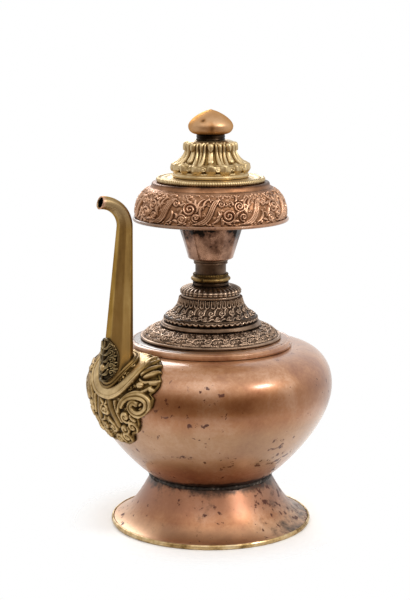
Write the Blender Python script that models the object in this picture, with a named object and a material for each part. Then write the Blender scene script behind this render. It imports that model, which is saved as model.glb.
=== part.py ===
"""Ritual ewer: a footed copper vessel with a brass spout, a stack of lotus mouldings
round its neck, a cup with a chased collar, and a brass lotus lid that lifts off.

Metres, +Z up. The axis of the ewer is Z, the foot stands on Z = 0, the spout points to -X.
Every seated piece keeps SEAT_GAP to its neighbour, and every level is worked out from the
level of the piece below it.
"""
import math

import bmesh
import bpy
from mathutils import Vector

# Fits and sheet
SEAT_GAP = 0.0003
SLIDE_GAP = 0.0004
BODY_SHEET = 0.0012
ORNAMENT_SHEET = 0.0010
LARGE_SIDES = 32
SLIM_SIDES = 24
BELLY_STEPS = 7
SHOULDER_STEPS = 6
OUTLINE_STEPS = 60
WELD = 0.00001

# Foot
RIM_RADIUS = 0.0610
RIM_HEIGHT = 0.0029
RIM_WIDTH = 0.0036
RIM_LIP = 0.0014
RIM_LEDGE = 0.0013
RIM_BULGE = 0.0007
FOOT_WAIST = 0.0361
FOOT_HEIGHT = 0.0294
FOOT_EDGE = 0.0010
SEAM_SIZE = 0.0018

# Body
BELLY_RADIUS = 0.0735
BELLY_RISE = 0.0563
SHOULDER_RADIUS = 0.0497
SHOULDER_RISE = 0.0230
NECK_RADIUS = 0.0092
NECK_WALL = 0.0010
NECK_TAIL = 0.0015

# Mouldings on the shoulder
RING_MARGIN = 0.0010
RING_WALL = 0.0028
RING_HEIGHT = 0.0042
RING_TREAD = 0.0050
DISC_RADIUS = 0.0424
DISC_HEIGHT = 0.0072
DISC_RIM = 0.0018
BEAD_RADIUS = 0.0302
BEAD_WIDTH = 0.0045
BEAD_HEIGHT = 0.0027
BELL_RADIUS = 0.0284
BELL_LIP = 0.0038
BELL_HEIGHT = 0.0142
BELL_TOP = 0.0190
CAP_RADIUS = 0.0186
CAP_BAND = 0.0034
CAP_HEIGHT = 0.0068
CAP_TOP = 0.0118
FERRULE_RADIUS = 0.0108
FERRULE_HEIGHT = 0.0015
NECK_RING_RADIUS = 0.0119
NECK_RING_HEIGHT = 0.0050
NECK_RING_CREST = 0.0036
NECK_BARE = 0.0058
NECK_BEAD_RADIUS = 0.0104
NECK_BEAD_HEIGHT = 0.0028

# Cup, collar and mouth
CUP_FOOT = 0.0136
CUP_TOP = 0.0272
CUP_HEIGHT = 0.0445
CUP_ROUND = 0.0012
FLANGE_RADIUS = 0.0451
FLANGE_HEIGHT = 0.0229
FLANGE_WALL = 0.0050
FLANGE_SHOULDER = 0.0372
FLANGE_STEP = 0.0030
SEAT_RADIUS = 0.0344
LIP_WIRE = 0.0011
LIP_HEIGHT = 0.0021
MOUTH_RADIUS = 0.0136
MOUTH_COLLAR_LENGTH = 0.0092
MOUTH_COLLAR_WALL = 0.0010

# Lid
LID_RADIUS = 0.0323
LID_THICKNESS = 0.0024
LOTUS_RADIUS = 0.0232
LOTUS_HEIGHT = 0.0216
LOTUS_BASE = 0.0022
LOTUS_SKIRT = 0.0078
LOTUS_WAIST = 0.0158
LOTUS_TOP = 0.0100
LOTUS_SHEET = 0.0014
PETALS = 8
PETAL_DEPTH = 0.0009
KNOB_COLLAR_RADIUS = 0.0087
KNOB_COLLAR_HEIGHT = 0.0030
KNOB_RADIUS = 0.0133
KNOB_FOOT = 0.0094
KNOB_BELLY = 0.0046
KNOB_HEIGHT = 0.0144
PLUG_LENGTH = 0.0070
PLUG_WALL = 0.0010
TANG_RADIUS = 0.0022
TANG_GRIP = 0.0060
TANG_HEAD_RADIUS = 0.0040
TANG_HEAD_HEIGHT = 0.0015
WASHER_RADIUS = 0.0062
WASHER_THICKNESS = 0.0010
TANG_SIDES = 16

# Spout. Its foot stands at a share of the way in from the belly to the edge of the shoulder,
# and its root lies below the skin of the body there.
SPOUT_ROOT_SHARE = 0.336
SPOUT_ROOT_DEPTH = 0.0079
SPOUT_ROOT_RADIUS = 0.0094
SPOUT_SHAFT_RISE = 0.0882
SPOUT_SHAFT_LEAN = 0.0059
SPOUT_SHAFT_RADIUS = 0.0048
SPOUT_TIP_RISE = 0.0155
SPOUT_TIP_OUT = 0.0159
SPOUT_TIP_RADIUS = 0.0037
SPOUT_WALL = 0.0011
SPOUT_MOUTH_SLANT = math.radians(16)
SPOUT_HOLE = 0.0052
SPOUT_HOLE_SHIFT = 0.0012
SPOUT_POINTS = 16

# Plates round the root of the spout. The collar is a lip of its own width round the root.
# A lobe of the escutcheon is its distance up from the belly, its distance sideways and its
# radius, as shares of the length of the shoulder's outline.
PLATE_GAP = 0.0003
COLLAR_THICKNESS = 0.0022
COLLAR_LIP_LONG = 0.0056
COLLAR_LIP_WIDE = 0.0039
ESCUTCHEON_THICKNESS = 0.0012
ESCUTCHEON_LOBE_SHARES = (
    (0.776, 0.161, 0.228),
    (0.535, 0.455, 0.428),
    (0.321, 0.709, 0.327),
    (0.107, 0.728, 0.254),
    (-0.335, 0.281, 0.353),
    (-0.535, 0.107, 0.268),
)
ESCUTCHEON_SPOKES = 48
ESCUTCHEON_RINGS = 7
LEAF_FOOT_RISE = 0.0036
LEAF_HEIGHT = 0.0216
LEAF_HALF_ANGLE = math.radians(62)
LEAF_THICKNESS = 0.0009
BOSS_RISE = 0.0042
BOSS_RADIUS = 0.0021
BOSS_HEIGHT = 0.0007

# The shoulder ring stands a margin inside the edge of the shoulder
RING_RADIUS = SHOULDER_RADIUS - RING_MARGIN

# Levels, from the ground up
BODY_FLOOR = FOOT_HEIGHT + SEAT_GAP
BELLY = BODY_FLOOR + BELLY_RISE
SHOULDER = BELLY + SHOULDER_RISE
RING_SEAT = SHOULDER + SEAT_GAP
DISC_SEAT = RING_SEAT + RING_HEIGHT + SEAT_GAP
BEAD_SEAT = DISC_SEAT + DISC_HEIGHT + SEAT_GAP
BELL_SEAT = BEAD_SEAT + BEAD_HEIGHT + SEAT_GAP
CAP_SEAT = BELL_SEAT + BELL_HEIGHT + SEAT_GAP
FERRULE_SEAT = CAP_SEAT + CAP_HEIGHT + SEAT_GAP
NECK_RING_SEAT = FERRULE_SEAT + FERRULE_HEIGHT + SEAT_GAP
NECK_BEAD_SEAT = NECK_RING_SEAT + NECK_RING_HEIGHT + NECK_BARE
CUP_SEAT = NECK_BEAD_SEAT + NECK_BEAD_HEIGHT + SEAT_GAP
FLANGE_TOP = CUP_SEAT + CUP_HEIGHT + SEAT_GAP + ORNAMENT_SHEET
FLANGE_FOOT = FLANGE_TOP - FLANGE_HEIGHT
LID_SEAT = FLANGE_TOP + SEAT_GAP
LOTUS_SEAT = LID_THICKNESS + SEAT_GAP
KNOB_COLLAR_SEAT = LOTUS_SEAT + LOTUS_HEIGHT + SEAT_GAP
KNOB_SEAT = KNOB_COLLAR_SEAT + KNOB_COLLAR_HEIGHT + SEAT_GAP


def curve(start, end, first, second, steps):
    """Points of a Bezier. Each handle is given as shares of the box from start to end."""
    wide = end[0] - start[0]
    tall = end[1] - start[1]
    points = []
    for step in range(steps + 1):
        t = step / steps
        a = 3 * t * (1 - t) ** 2
        b = 3 * t * t * (1 - t)
        c = t ** 3
        points.append((start[0] + wide * (a * first[0] + b * second[0] + c),
                       start[1] + tall * (a * first[1] + b * second[1] + c)))
    return points


def inset(line, depth):
    """The line moved to its left by depth: inwards, for an outside that runs upwards."""
    sides = []
    for (r0, z0), (r1, z1) in zip(line, line[1:]):
        length = math.hypot(r1 - r0, z1 - z0)
        sides.append((-(z1 - z0) / length, (r1 - r0) / length))
    moved = []
    for index, (r, z) in enumerate(line):
        before = sides[max(index - 1, 0)]
        after = sides[min(index, len(sides) - 1)]
        share = depth / (1 + before[0] * after[0] + before[1] * after[1])
        moved.append((r + (before[0] + after[0]) * share, z + (before[1] + after[1]) * share))
    return moved


def shell(outside, sheet):
    """A closed outline of sheet metal behind an outside line that runs upwards."""
    return outside + inset(outside, sheet)[::-1]


def tube(inner, outer, height):
    """The outline of a plain tube standing on its own level."""
    return [(inner, 0), (outer, 0), (outer, height), (inner, height)]


def belly_line(steps):
    """The outside of the body from its floor to the belly."""
    return curve((FOOT_WAIST, BODY_FLOOR), (BELLY_RADIUS, BELLY), (0.577, 0.304), (1, 0.698), steps)


def shoulder_line(steps):
    """The outside of the body from the belly to the edge of the shoulder."""
    return curve((BELLY_RADIUS, BELLY), (SHOULDER_RADIUS, SHOULDER), (0, 0.56), (0.318, 0.98), steps)


def piece(name, bm, place, material, parent):
    """One named object from a finished mesh, with smooth shading and its own material."""
    bmesh.ops.remove_doubles(bm, verts=bm.verts, dist=WELD)
    bmesh.ops.recalc_face_normals(bm, faces=bm.faces)
    mesh = bpy.data.meshes.new(name)
    bm.to_mesh(mesh)
    bm.free()
    mesh.shade_smooth()
    mesh.set_sharp_from_angle(angle=math.radians(35))
    if material:
        mesh.materials.append(material)
    made = bpy.data.objects.new(name, mesh)
    made.location = place
    made.parent = parent
    bpy.context.scene.collection.objects.link(made)
    return made


def turned(name, outline, sides, level, material, parent, ends_on_axis=False):
    """A piece turned about the axis from its outline, standing at its level."""
    bm = bmesh.new()
    points = [bm.verts.new((r, 0, z)) for r, z in outline]
    lines = [bm.edges.new(pair) for pair in zip(points, points[1:])]
    if not ends_on_axis:
        lines.append(bm.edges.new((points[-1], points[0])))
    bmesh.ops.spin(bm, geom=points + lines, cent=(0, 0, 0), axis=(0, 0, 1),
                   angle=math.tau, steps=sides, use_merge=True)
    return piece(name, bm, (0, 0, level), material, parent)


def lofted(name, rings, material, parent, capped):
    """A skin over rings of points: capped at both ends, or closed from the last to the first."""
    bm = bmesh.new()
    loops = [[bm.verts.new(point) for point in ring] for ring in rings]
    pairs = list(zip(loops, loops[1:]))
    if capped:
        bm.faces.new(loops[0])
        bm.faces.new(loops[-1])
    else:
        pairs.append((loops[-1], loops[0]))
    for low, high in pairs:
        for index in range(len(low)):
            after = (index + 1) % len(low)
            bm.faces.new((low[index], low[after], high[after], high[index]))
    return piece(name, bm, (0, 0, 0), material, parent)


def plate(name, place, reach, spokes, rings, under, over, material, parent):
    """A thin plate on a curved surface: place(x, y, height) gives its points, and reach
    gives its outline as a distance in each direction from its middle."""
    faces = []
    for height in (under, over):
        loops = [[place(0, 0, height)] * spokes]
        for ring in range(1, rings + 1):
            loop = []
            for spoke in range(spokes):
                angle = math.tau * spoke / spokes
                far = reach(angle) * ring / rings
                loop.append(place(far * math.cos(angle), far * math.sin(angle), height))
            loops.append(loop)
        faces.append(loops)
    bm = bmesh.new()
    skins = []
    for loops in faces:
        middle = bm.verts.new(loops[0][0])
        made = [[bm.verts.new(point) for point in loop] for loop in loops[1:]]
        for index in range(spokes):
            after = (index + 1) % spokes
            bm.faces.new((middle, made[0][index], made[0][after]))
            for low, high in zip(made, made[1:]):
                bm.faces.new((low[index], high[index], high[after], low[after]))
        skins.append(made[-1])
    for index in range(spokes):
        after = (index + 1) % spokes
        bm.faces.new((skins[0][index], skins[0][after], skins[1][after], skins[1][index]))
    return piece(name, bm, (0, 0, 0), material, parent)


def cut(target, tool):
    """Take one shape out of a piece. The tool itself is scratch and is not shown."""
    step = target.modifiers.new("cut_" + tool.name, "BOOLEAN")
    step.operation = "DIFFERENCE"
    step.solver = "EXACT"
    step.object = tool
    tool.hide_render = True
    tool.display_type = "WIRE"


def metal(name, colour, roughness):
    """A metal with its own colour."""
    made = bpy.data.materials.new(name)
    made.use_nodes = True
    shader = made.node_tree.nodes["Principled BSDF"]
    shader.inputs["Base Color"].default_value = (*colour, 1)
    shader.inputs["Metallic"].default_value = 1
    shader.inputs["Roughness"].default_value = roughness
    return made


for old in list(bpy.data.objects):
    bpy.data.objects.remove(old)

COPPER = metal("raised_copper", (0.46, 0.20, 0.13), 0.32)
CHASED = metal("chased_copper", (0.26, 0.12, 0.08), 0.42)
BLACKENED = metal("blackened_copper", (0.07, 0.05, 0.045), 0.50)
BRASS = metal("turned_brass", (0.58, 0.41, 0.15), 0.33)
OLD_BRASS = metal("cast_brass", (0.42, 0.33, 0.13), 0.40)
SOLDER = metal("dark_solder", (0.10, 0.10, 0.095), 0.60)

ewer = bpy.data.objects.new("ewer_axis", None)
lid = bpy.data.objects.new("lid_axis", None)
lid.parent = ewer
lid.location = (0, 0, LID_SEAT)
for axis in (ewer, lid):
    bpy.context.scene.collection.objects.link(axis)

# Foot rim: a half-round brass ring with a ledge that the edge of the foot sits on.
rim_side = curve((RIM_RADIUS - RIM_BULGE, 0), (RIM_RADIUS - RIM_BULGE, RIM_HEIGHT),
                 (0, 0.3), (0, 0.7), 3)
rim_side = [(r + RIM_BULGE * math.sin(math.pi * z / RIM_HEIGHT), z) for r, z in rim_side]
rim_seat = RIM_RADIUS - RIM_LIP
turned("foot_rim",
       [(RIM_RADIUS - RIM_WIDTH, 0)] + rim_side
       + [(rim_seat, RIM_HEIGHT), (rim_seat, RIM_LEDGE), (RIM_RADIUS - RIM_WIDTH, RIM_LEDGE)],
       LARGE_SIDES, 0, BRASS, ewer)

# Foot: a flared copper shell, open underneath, with a short upright edge in the rim.
foot_edge = rim_seat - SEAT_GAP
foot_level = RIM_LEDGE + SEAT_GAP
foot_flare = curve((foot_edge, foot_level + FOOT_EDGE), (FOOT_WAIST, FOOT_HEIGHT),
                   (0.53, 0.16), (0.79, 0.70), 6)
foot_outside = [(foot_edge, foot_level)] + foot_flare
foot_inside = inset(foot_outside, BODY_SHEET)
foot_inside[-1] = (FOOT_WAIST - BODY_SHEET, FOOT_HEIGHT)
turned("foot", foot_outside + foot_inside[::-1], LARGE_SIDES, 0, COPPER, ewer)

# Body: floor, belly and shoulder in one raised sheet, open at the neck.
belly = belly_line(BELLY_STEPS)
shoulder = shoulder_line(SHOULDER_STEPS)
neck_hole = NECK_RADIUS + SEAT_GAP
body_outside = [(0, BODY_FLOOR)] + belly + shoulder[1:] + [(neck_hole, SHOULDER)]
body_inside = inset(body_outside, BODY_SHEET)
body = turned("body", body_outside + body_inside[::-1], LARGE_SIDES, 0, COPPER, ewer,
              ends_on_axis=True)

# Solder seam: a fillet in the corner between the foot and the body.
corner = Vector((FOOT_WAIST, FOOT_HEIGHT))
along_body = (Vector(belly[1]) - Vector(belly[0])).normalized()
along_foot = (Vector(foot_flare[-2]) - Vector(foot_flare[-1])).normalized()
off_body = Vector((along_body.y, -along_body.x)) * SEAT_GAP * 1.5
off_foot = Vector((-along_foot.y, along_foot.x)) * SEAT_GAP * 1.5
seam_outline = [corner + along_foot * SEAM_SIZE + off_foot,
                corner + along_body * SEAM_SIZE + off_body,
                corner + off_body * 0.6 + off_foot]
turned("foot_solder_seam", [tuple(point) for point in seam_outline], LARGE_SIDES, 0, SOLDER, ewer)

# Shoulder ring: a plain step with a flat tread for the disc.
tread = DISC_RADIUS + DISC_RIM * 0.5
turned("shoulder_ring",
       [(DISC_RADIUS - RING_TREAD, 0), (RING_RADIUS - 0.0003, 0), (RING_RADIUS, RING_WALL * 0.4),
        (RING_RADIUS - 0.0003, RING_WALL), (RING_RADIUS - 0.0012, RING_WALL + 0.0006),
        (tread, RING_HEIGHT), (DISC_RADIUS - RING_TREAD, RING_HEIGHT)],
       LARGE_SIDES, RING_SEAT, COPPER, ewer)

# Chased disc: a dome of sheet with a plain rolled edge and a flat crown for the bead.
disc_dome = curve((DISC_RADIUS - 0.0010, DISC_RIM + 0.0004), (BEAD_RADIUS, DISC_HEIGHT),
                  (0.16, 0.42), (0.50, 0.92), 4)
disc_outside = ([(DISC_RADIUS, 0), (DISC_RADIUS, DISC_RIM * 0.5),
                 (DISC_RADIUS - 0.0003, DISC_RIM)] + disc_dome
                + [(BEAD_RADIUS - BEAD_WIDTH - 0.0020, DISC_HEIGHT)])
turned("chased_disc", shell(disc_outside, ORNAMENT_SHEET), LARGE_SIDES, DISC_SEAT, CHASED, ewer)

# Disc bead: a plain ring that the bell stands on.
bead_side = [(BEAD_RADIUS - BEAD_HEIGHT * 0.35 * (1 - math.sin(math.pi * t / 4)), BEAD_HEIGHT * t / 4)
             for t in range(5)]
turned("disc_bead",
       [(BEAD_RADIUS - BEAD_WIDTH, 0)] + bead_side + [(BEAD_RADIUS - BEAD_WIDTH, BEAD_HEIGHT)],
       LARGE_SIDES, BEAD_SEAT, COPPER, ewer)

# Lotus bell: an upright lip of petal tips under a hollow flank.
bell_flank = curve((BELL_RADIUS - 0.0008, BELL_LIP), (BELL_TOP, BELL_HEIGHT),
                   (0.42, 0.04), (0.90, 0.42), 5)
bell_outside = ([(BELL_RADIUS - 0.0004, 0), (BELL_RADIUS, BELL_LIP * 0.5)] + bell_flank
                + [(CAP_RADIUS - 0.0035, BELL_HEIGHT)])
turned("lotus_bell", shell(bell_outside, ORNAMENT_SHEET), LARGE_SIDES, BELL_SEAT, BLACKENED, ewer)

# Petal cap: a beaded band under a low dome, flat on top for the ferrule.
cap_dome = curve((CAP_RADIUS - 0.0001, CAP_BAND), (CAP_TOP, CAP_HEIGHT), (0.05, 0.50), (0.45, 0.92), 4)
cap_outside = ([(CAP_RADIUS - 0.0005, 0), (CAP_RADIUS, CAP_BAND * 0.3)] + cap_dome
               + [(NECK_RADIUS + SEAT_GAP, CAP_HEIGHT)])
turned("petal_cap", shell(cap_outside, ORNAMENT_SHEET), SLIM_SIDES, CAP_SEAT, BLACKENED, ewer)

# Ferrule, brass ring and bead: threaded over the neck tube.
turned("neck_ferrule", tube(neck_hole, FERRULE_RADIUS, FERRULE_HEIGHT),
       SLIM_SIDES, FERRULE_SEAT, OLD_BRASS, ewer)
ring_round = NECK_RING_RADIUS - FERRULE_RADIUS + 0.0006
ring_side = [(NECK_RING_RADIUS - ring_round * (1 - math.sin(math.pi * t / 6)), NECK_RING_CREST * t / 6)
             for t in range(7)]
turned("neck_ring",
       [(neck_hole, 0)] + ring_side
       + [(FERRULE_RADIUS - 0.0004, NECK_RING_HEIGHT), (neck_hole, NECK_RING_HEIGHT)],
       SLIM_SIDES, NECK_RING_SEAT, BRASS, ewer)
turned("neck_bead",
       [(neck_hole, 0), (NECK_BEAD_RADIUS - 0.0003, 0),
        (NECK_BEAD_RADIUS - 0.0002, NECK_BEAD_HEIGHT * 0.4), (NECK_BEAD_RADIUS, NECK_BEAD_HEIGHT * 0.55),
        (NECK_BEAD_RADIUS, NECK_BEAD_HEIGHT), (neck_hole, NECK_BEAD_HEIGHT)],
       SLIM_SIDES, NECK_BEAD_SEAT, BLACKENED, ewer)

# Neck tube: from just inside the body to the floor of the cup.
neck_foot = SHOULDER - BODY_SHEET - NECK_TAIL
turned("neck_tube",
       tube(NECK_RADIUS - NECK_WALL, NECK_RADIUS, CUP_SEAT + BODY_SHEET - neck_foot),
       SLIM_SIDES, neck_foot, CHASED, ewer)

# Cup: a cone with a holed floor, open to the collar above.
cup_outside = [(neck_hole, 0), (CUP_FOOT - CUP_ROUND, 0), (CUP_FOOT - CUP_ROUND * 0.3, CUP_ROUND * 0.35),
               (CUP_FOOT, CUP_ROUND), (CUP_TOP - 0.0002, CUP_HEIGHT - 0.0006),
               (CUP_TOP - 0.0002, CUP_HEIGHT)]
turned("cup", shell(cup_outside, BODY_SHEET), SLIM_SIDES, CUP_SEAT, COPPER, ewer)

# Flange: upright wall, chased dome, raised step and a flat crown with the mouth in it.
crown = FLANGE_HEIGHT
step_foot = crown - FLANGE_STEP
flange_dome = curve((FLANGE_RADIUS, FLANGE_WALL), (FLANGE_SHOULDER, step_foot),
                    (0.02, 0.50), (0.55, 0.87), 5)
flange_outside = ([(FLANGE_RADIUS, 0)] + flange_dome
                  + [(SEAT_RADIUS + 0.0012, step_foot + 0.0004), (SEAT_RADIUS + 0.0004, crown - 0.0006),
                     (SEAT_RADIUS, crown), (MOUTH_RADIUS, crown)])
turned("flange", shell(flange_outside, ORNAMENT_SHEET), LARGE_SIDES, FLANGE_FOOT, CHASED, ewer)

# Flange rim: a plain wire round the lower edge of the collar.
wire_seat = FLANGE_RADIUS + SEAT_GAP
turned("flange_rim",
       [(wire_seat, 0), (wire_seat + LIP_WIRE * 0.6, 0), (wire_seat + LIP_WIRE, LIP_HEIGHT * 0.3),
        (wire_seat + LIP_WIRE * 0.8, LIP_HEIGHT * 0.75), (wire_seat + LIP_WIRE * 0.3, LIP_HEIGHT),
        (wire_seat, LIP_HEIGHT)],
       LARGE_SIDES, FLANGE_FOOT, COPPER, ewer)

# Mouth collar: the tube that the lid's plug slides in.
collar_outer = MOUTH_RADIUS - SEAT_GAP
collar_inner = collar_outer - MOUTH_COLLAR_WALL
turned("mouth_collar", tube(collar_inner, collar_outer, MOUTH_COLLAR_LENGTH),
       SLIM_SIDES, FLANGE_TOP - MOUTH_COLLAR_LENGTH, COPPER, ewer)

# Lid plate: a flat brass disc with a rounded edge, holed for the tang.
tang_hole = TANG_RADIUS + SEAT_GAP
turned("lid_plate",
       [(tang_hole, 0), (LID_RADIUS - 0.0004, 0), (LID_RADIUS, 0.0005),
        (LID_RADIUS, LID_THICKNESS - 0.0007), (LID_RADIUS - 0.0006, LID_THICKNESS),
        (tang_hole, LID_THICKNESS)],
       LARGE_SIDES, 0, BRASS, lid)

# Lid lotus: a hollow lotus whose skirt is lobed by its petals.
skirt = [(LOTUS_RADIUS - 0.0010, 0), (LOTUS_RADIUS - 0.0008, LOTUS_BASE),
         (LOTUS_RADIUS + 0.0003, LOTUS_BASE + 0.0018), (LOTUS_RADIUS, LOTUS_SKIRT)]
lotus_flank = curve(skirt[-1], (LOTUS_WAIST, LOTUS_HEIGHT * 0.72), (0.45, 0.10), (0.94, 0.45), 4)
lotus_crown = curve((LOTUS_WAIST, LOTUS_HEIGHT * 0.84), (LOTUS_TOP, LOTUS_HEIGHT),
                    (0.02, 0.60), (0.35, 0.95), 2)
lotus = turned("lid_lotus",
               shell(skirt[:-1] + lotus_flank + lotus_crown + [(tang_hole, LOTUS_HEIGHT)], LOTUS_SHEET),
               PETALS * 4, LOTUS_SEAT, BRASS, lid)
for vertex in lotus.data.vertices:
    radius = math.hypot(vertex.co.x, vertex.co.y)
    lobed = min(max((radius - LOTUS_TOP) / (LOTUS_RADIUS - LOTUS_TOP), 0), 1)
    lobed *= min(vertex.co.z / LOTUS_BASE, 1)
    wave = math.cos(PETALS * math.atan2(vertex.co.y, vertex.co.x))
    grown = 1 + PETAL_DEPTH * lobed * (wave - 0.4) / radius
    vertex.co.x *= grown
    vertex.co.y *= grown

# Knob and the blackened sleeve under it.
turned("knob_collar", tube(tang_hole, KNOB_COLLAR_RADIUS, KNOB_COLLAR_HEIGHT),
       SLIM_SIDES, KNOB_COLLAR_SEAT, BLACKENED, lid)
knob_low = curve((KNOB_FOOT, 0), (KNOB_RADIUS, KNOB_BELLY), (0.55, 0.10), (1, 0.45), 4)
knob_high = curve((KNOB_RADIUS, KNOB_BELLY), (0, KNOB_HEIGHT), (0, 0.30), (0.42, 0.80), 6)
knob_bore = TANG_GRIP + SEAT_GAP
turned("knob",
       [(0, knob_bore), (tang_hole, knob_bore), (tang_hole, 0)] + knob_low + knob_high[1:],
       SLIM_SIDES, KNOB_SEAT, COPPER, lid, ends_on_axis=True)

# Plug, washer and tang: under the plate, and up through it into the knob.
plug_outer = collar_inner - SLIDE_GAP
turned("lid_plug", tube(plug_outer - PLUG_WALL, plug_outer, PLUG_LENGTH),
       SLIM_SIDES, -SEAT_GAP - PLUG_LENGTH, BRASS, lid)
turned("tang_washer", tube(tang_hole, WASHER_RADIUS, WASHER_THICKNESS),
       TANG_SIDES, -SEAT_GAP - WASHER_THICKNESS, OLD_BRASS, lid)
head_top = -SEAT_GAP - WASHER_THICKNESS - SEAT_GAP
turned("knob_tang",
       [(0, head_top - TANG_HEAD_HEIGHT), (TANG_HEAD_RADIUS * 0.7, head_top - TANG_HEAD_HEIGHT * 0.75),
        (TANG_HEAD_RADIUS, head_top - TANG_HEAD_HEIGHT * 0.2), (TANG_HEAD_RADIUS, head_top),
        (TANG_RADIUS, head_top), (TANG_RADIUS, KNOB_SEAT + TANG_GRIP), (0, KNOB_SEAT + TANG_GRIP)],
       TANG_SIDES, 0, OLD_BRASS, lid, ends_on_axis=True)


# The outline of the body as points with their distance along it, and where the spout meets it.
body_line = belly_line(OUTLINE_STEPS) + shoulder_line(OUTLINE_STEPS)[1:]
line_run = [0.0]
for (r0, z0), (r1, z1) in zip(body_line, body_line[1:]):
    line_run.append(line_run[-1] + math.hypot(r1 - r0, z1 - z0))
belly_run = line_run[OUTLINE_STEPS]
shoulder_run = line_run[-1] - belly_run
SPOUT_ROOT_REACH = BELLY_RADIUS - (BELLY_RADIUS - SHOULDER_RADIUS) * SPOUT_ROOT_SHARE
SPOUT_SHAFT_REACH = SPOUT_ROOT_REACH - SPOUT_SHAFT_LEAN
SPOUT_TIP_REACH = SPOUT_SHAFT_REACH + SPOUT_TIP_OUT
above = next(k for k in range(OUTLINE_STEPS, len(body_line)) if body_line[k][0] < SPOUT_ROOT_REACH)
(r0, z0), (r1, z1) = body_line[above - 1], body_line[above]
share = (r0 - SPOUT_ROOT_REACH) / (r0 - r1)
COLLAR_CENTRE = line_run[above - 1] + (line_run[above] - line_run[above - 1]) * share - belly_run
SPOUT_ROOT = z0 + (z1 - z0) * share - SPOUT_ROOT_DEPTH
SPOUT_SHAFT = SPOUT_ROOT + SPOUT_SHAFT_RISE
SPOUT_TIP = SPOUT_SHAFT + SPOUT_TIP_RISE
COLLAR_LENGTH = SPOUT_ROOT_RADIUS + COLLAR_LIP_LONG
COLLAR_WIDTH = SPOUT_ROOT_RADIUS + COLLAR_LIP_WIDE


def spout_path():
    """Stations of the spout, root to tip: reach, level, lean from upright, radius, roundness."""
    root = (SPOUT_ROOT_REACH, SPOUT_ROOT)
    shaft = (SPOUT_SHAFT_REACH, SPOUT_SHAFT)
    lean = math.atan2(shaft[0] - root[0], shaft[1] - root[1])
    stations = []
    for step in range(4):
        t = step / 4
        stations.append((root[0] + (shaft[0] - root[0]) * t, root[1] + (shaft[1] - root[1]) * t, lean,
                         SPOUT_ROOT_RADIUS + (SPOUT_SHAFT_RADIUS - SPOUT_ROOT_RADIUS) * t, 0))
    rise = SPOUT_TIP_RISE * 0.55
    first = (math.tan(lean) * rise / (SPOUT_TIP_REACH - SPOUT_SHAFT_REACH), 0.55)
    bend = curve(shaft, (SPOUT_TIP_REACH, SPOUT_TIP), first, (0.42, 1), 8)
    for index, (reach, level) in enumerate(bend):
        t = index / (len(bend) - 1)
        before = bend[max(index - 1, 0)]
        after = bend[min(index + 1, len(bend) - 1)]
        turn = math.atan2(after[0] - before[0], after[1] - before[1])
        turn = lean if index == 0 else math.pi / 2 if index == len(bend) - 1 else turn
        stations.append((reach, level, turn,
                         SPOUT_SHAFT_RADIUS + (SPOUT_TIP_RADIUS - SPOUT_SHAFT_RADIUS) * t, t))
    return stations


def facet(angle, roundness):
    """Distance to the side of an octagon of corner radius 1, flat to the front, or a circle."""
    from_flat = (angle + math.pi / 8) % (math.pi / 4) - math.pi / 8
    flat = math.cos(math.pi / 8) / math.cos(from_flat)
    return flat + (1 - flat) * roundness


def spout_ring(station, grow, slant=0.0, drop=0.0):
    """One ring of the spout, grown by a distance."""
    reach, level, turn, radius, roundness = station
    along = Vector((-math.sin(turn), 0, math.cos(turn)))
    front = Vector((-math.cos(turn), 0, -math.sin(turn)))
    centre = Vector((-reach, 0, level)) - along * drop
    ring = []
    for point in range(SPOUT_POINTS):
        angle = math.tau * point / SPOUT_POINTS
        far = radius * facet(angle, roundness) + grow
        slid = radius * math.cos(angle) * math.tan(slant)
        aside = Vector((0, far * math.sin(angle), 0))
        ring.append(centre + front * far * math.cos(angle) + aside + along * slid)
    return ring


# Spout: an eight-sided tube that turns round at the bend, seated on the body.
stations = spout_path()
slants = [0.0] * (len(stations) - 1) + [SPOUT_MOUTH_SLANT]
outer_rings = [spout_ring(station, 0, slant) for station, slant in zip(stations, slants)]
inner_rings = [spout_ring(station, -SPOUT_WALL, slant) for station, slant in zip(stations, slants)]
spout = lofted("spout", outer_rings + inner_rings[::-1], OLD_BRASS, ewer, capped=False)
body_skin = [(0, BODY_FLOOR - SEAT_GAP)] + inset(belly + shoulder[1:], -SEAT_GAP)
cut(spout, turned("body_room", body_skin + [(0, SHOULDER + SEAT_GAP)], LARGE_SIDES, 0, None, ewer,
                  ends_on_axis=True))

# Hole in the body under the spout.
hole_rings = [[Vector((-SPOUT_ROOT_REACH + SPOUT_HOLE_SHIFT + SPOUT_HOLE * math.cos(math.tau * k / 12),
                       SPOUT_HOLE * math.sin(math.tau * k / 12), level)) for k in range(12)]
              for level in (BELLY + SHOULDER_RISE * 0.30, SHOULDER + SHOULDER_RISE * 0.2)]
cut(body, lofted("spout_hole", hole_rings, None, ewer, capped=True))

def on_body(up, side, height):
    """A point over the body: up its outline from the belly, sideways, and off its surface."""
    run = min(max(up + belly_run, 0), line_run[-1] - WELD)
    index = max(k for k, value in enumerate(line_run[:-1]) if value <= run)
    share = (run - line_run[index]) / (line_run[index + 1] - line_run[index])
    (r0, z0), (r1, z1) = body_line[index], body_line[index + 1]
    length = math.hypot(r1 - r0, z1 - z0)
    radius = r0 + (r1 - r0) * share
    swing = side / radius
    far = radius + height * (z1 - z0) / length
    level = z0 + (z1 - z0) * share - height * (r1 - r0) / length
    return Vector((-far * math.cos(swing), far * math.sin(swing), level))


def on_collar(x, y, height):
    """A point over the body, from the middle of the spout's collar; x runs down."""
    return on_body(COLLAR_CENTRE - x, y, height)


def oval(grow):
    """The outline of the collar, grown by a distance."""
    long = COLLAR_LENGTH + grow
    wide = COLLAR_WIDTH + grow
    return lambda angle: long * wide / math.hypot(wide * math.cos(angle), long * math.sin(angle))


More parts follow.
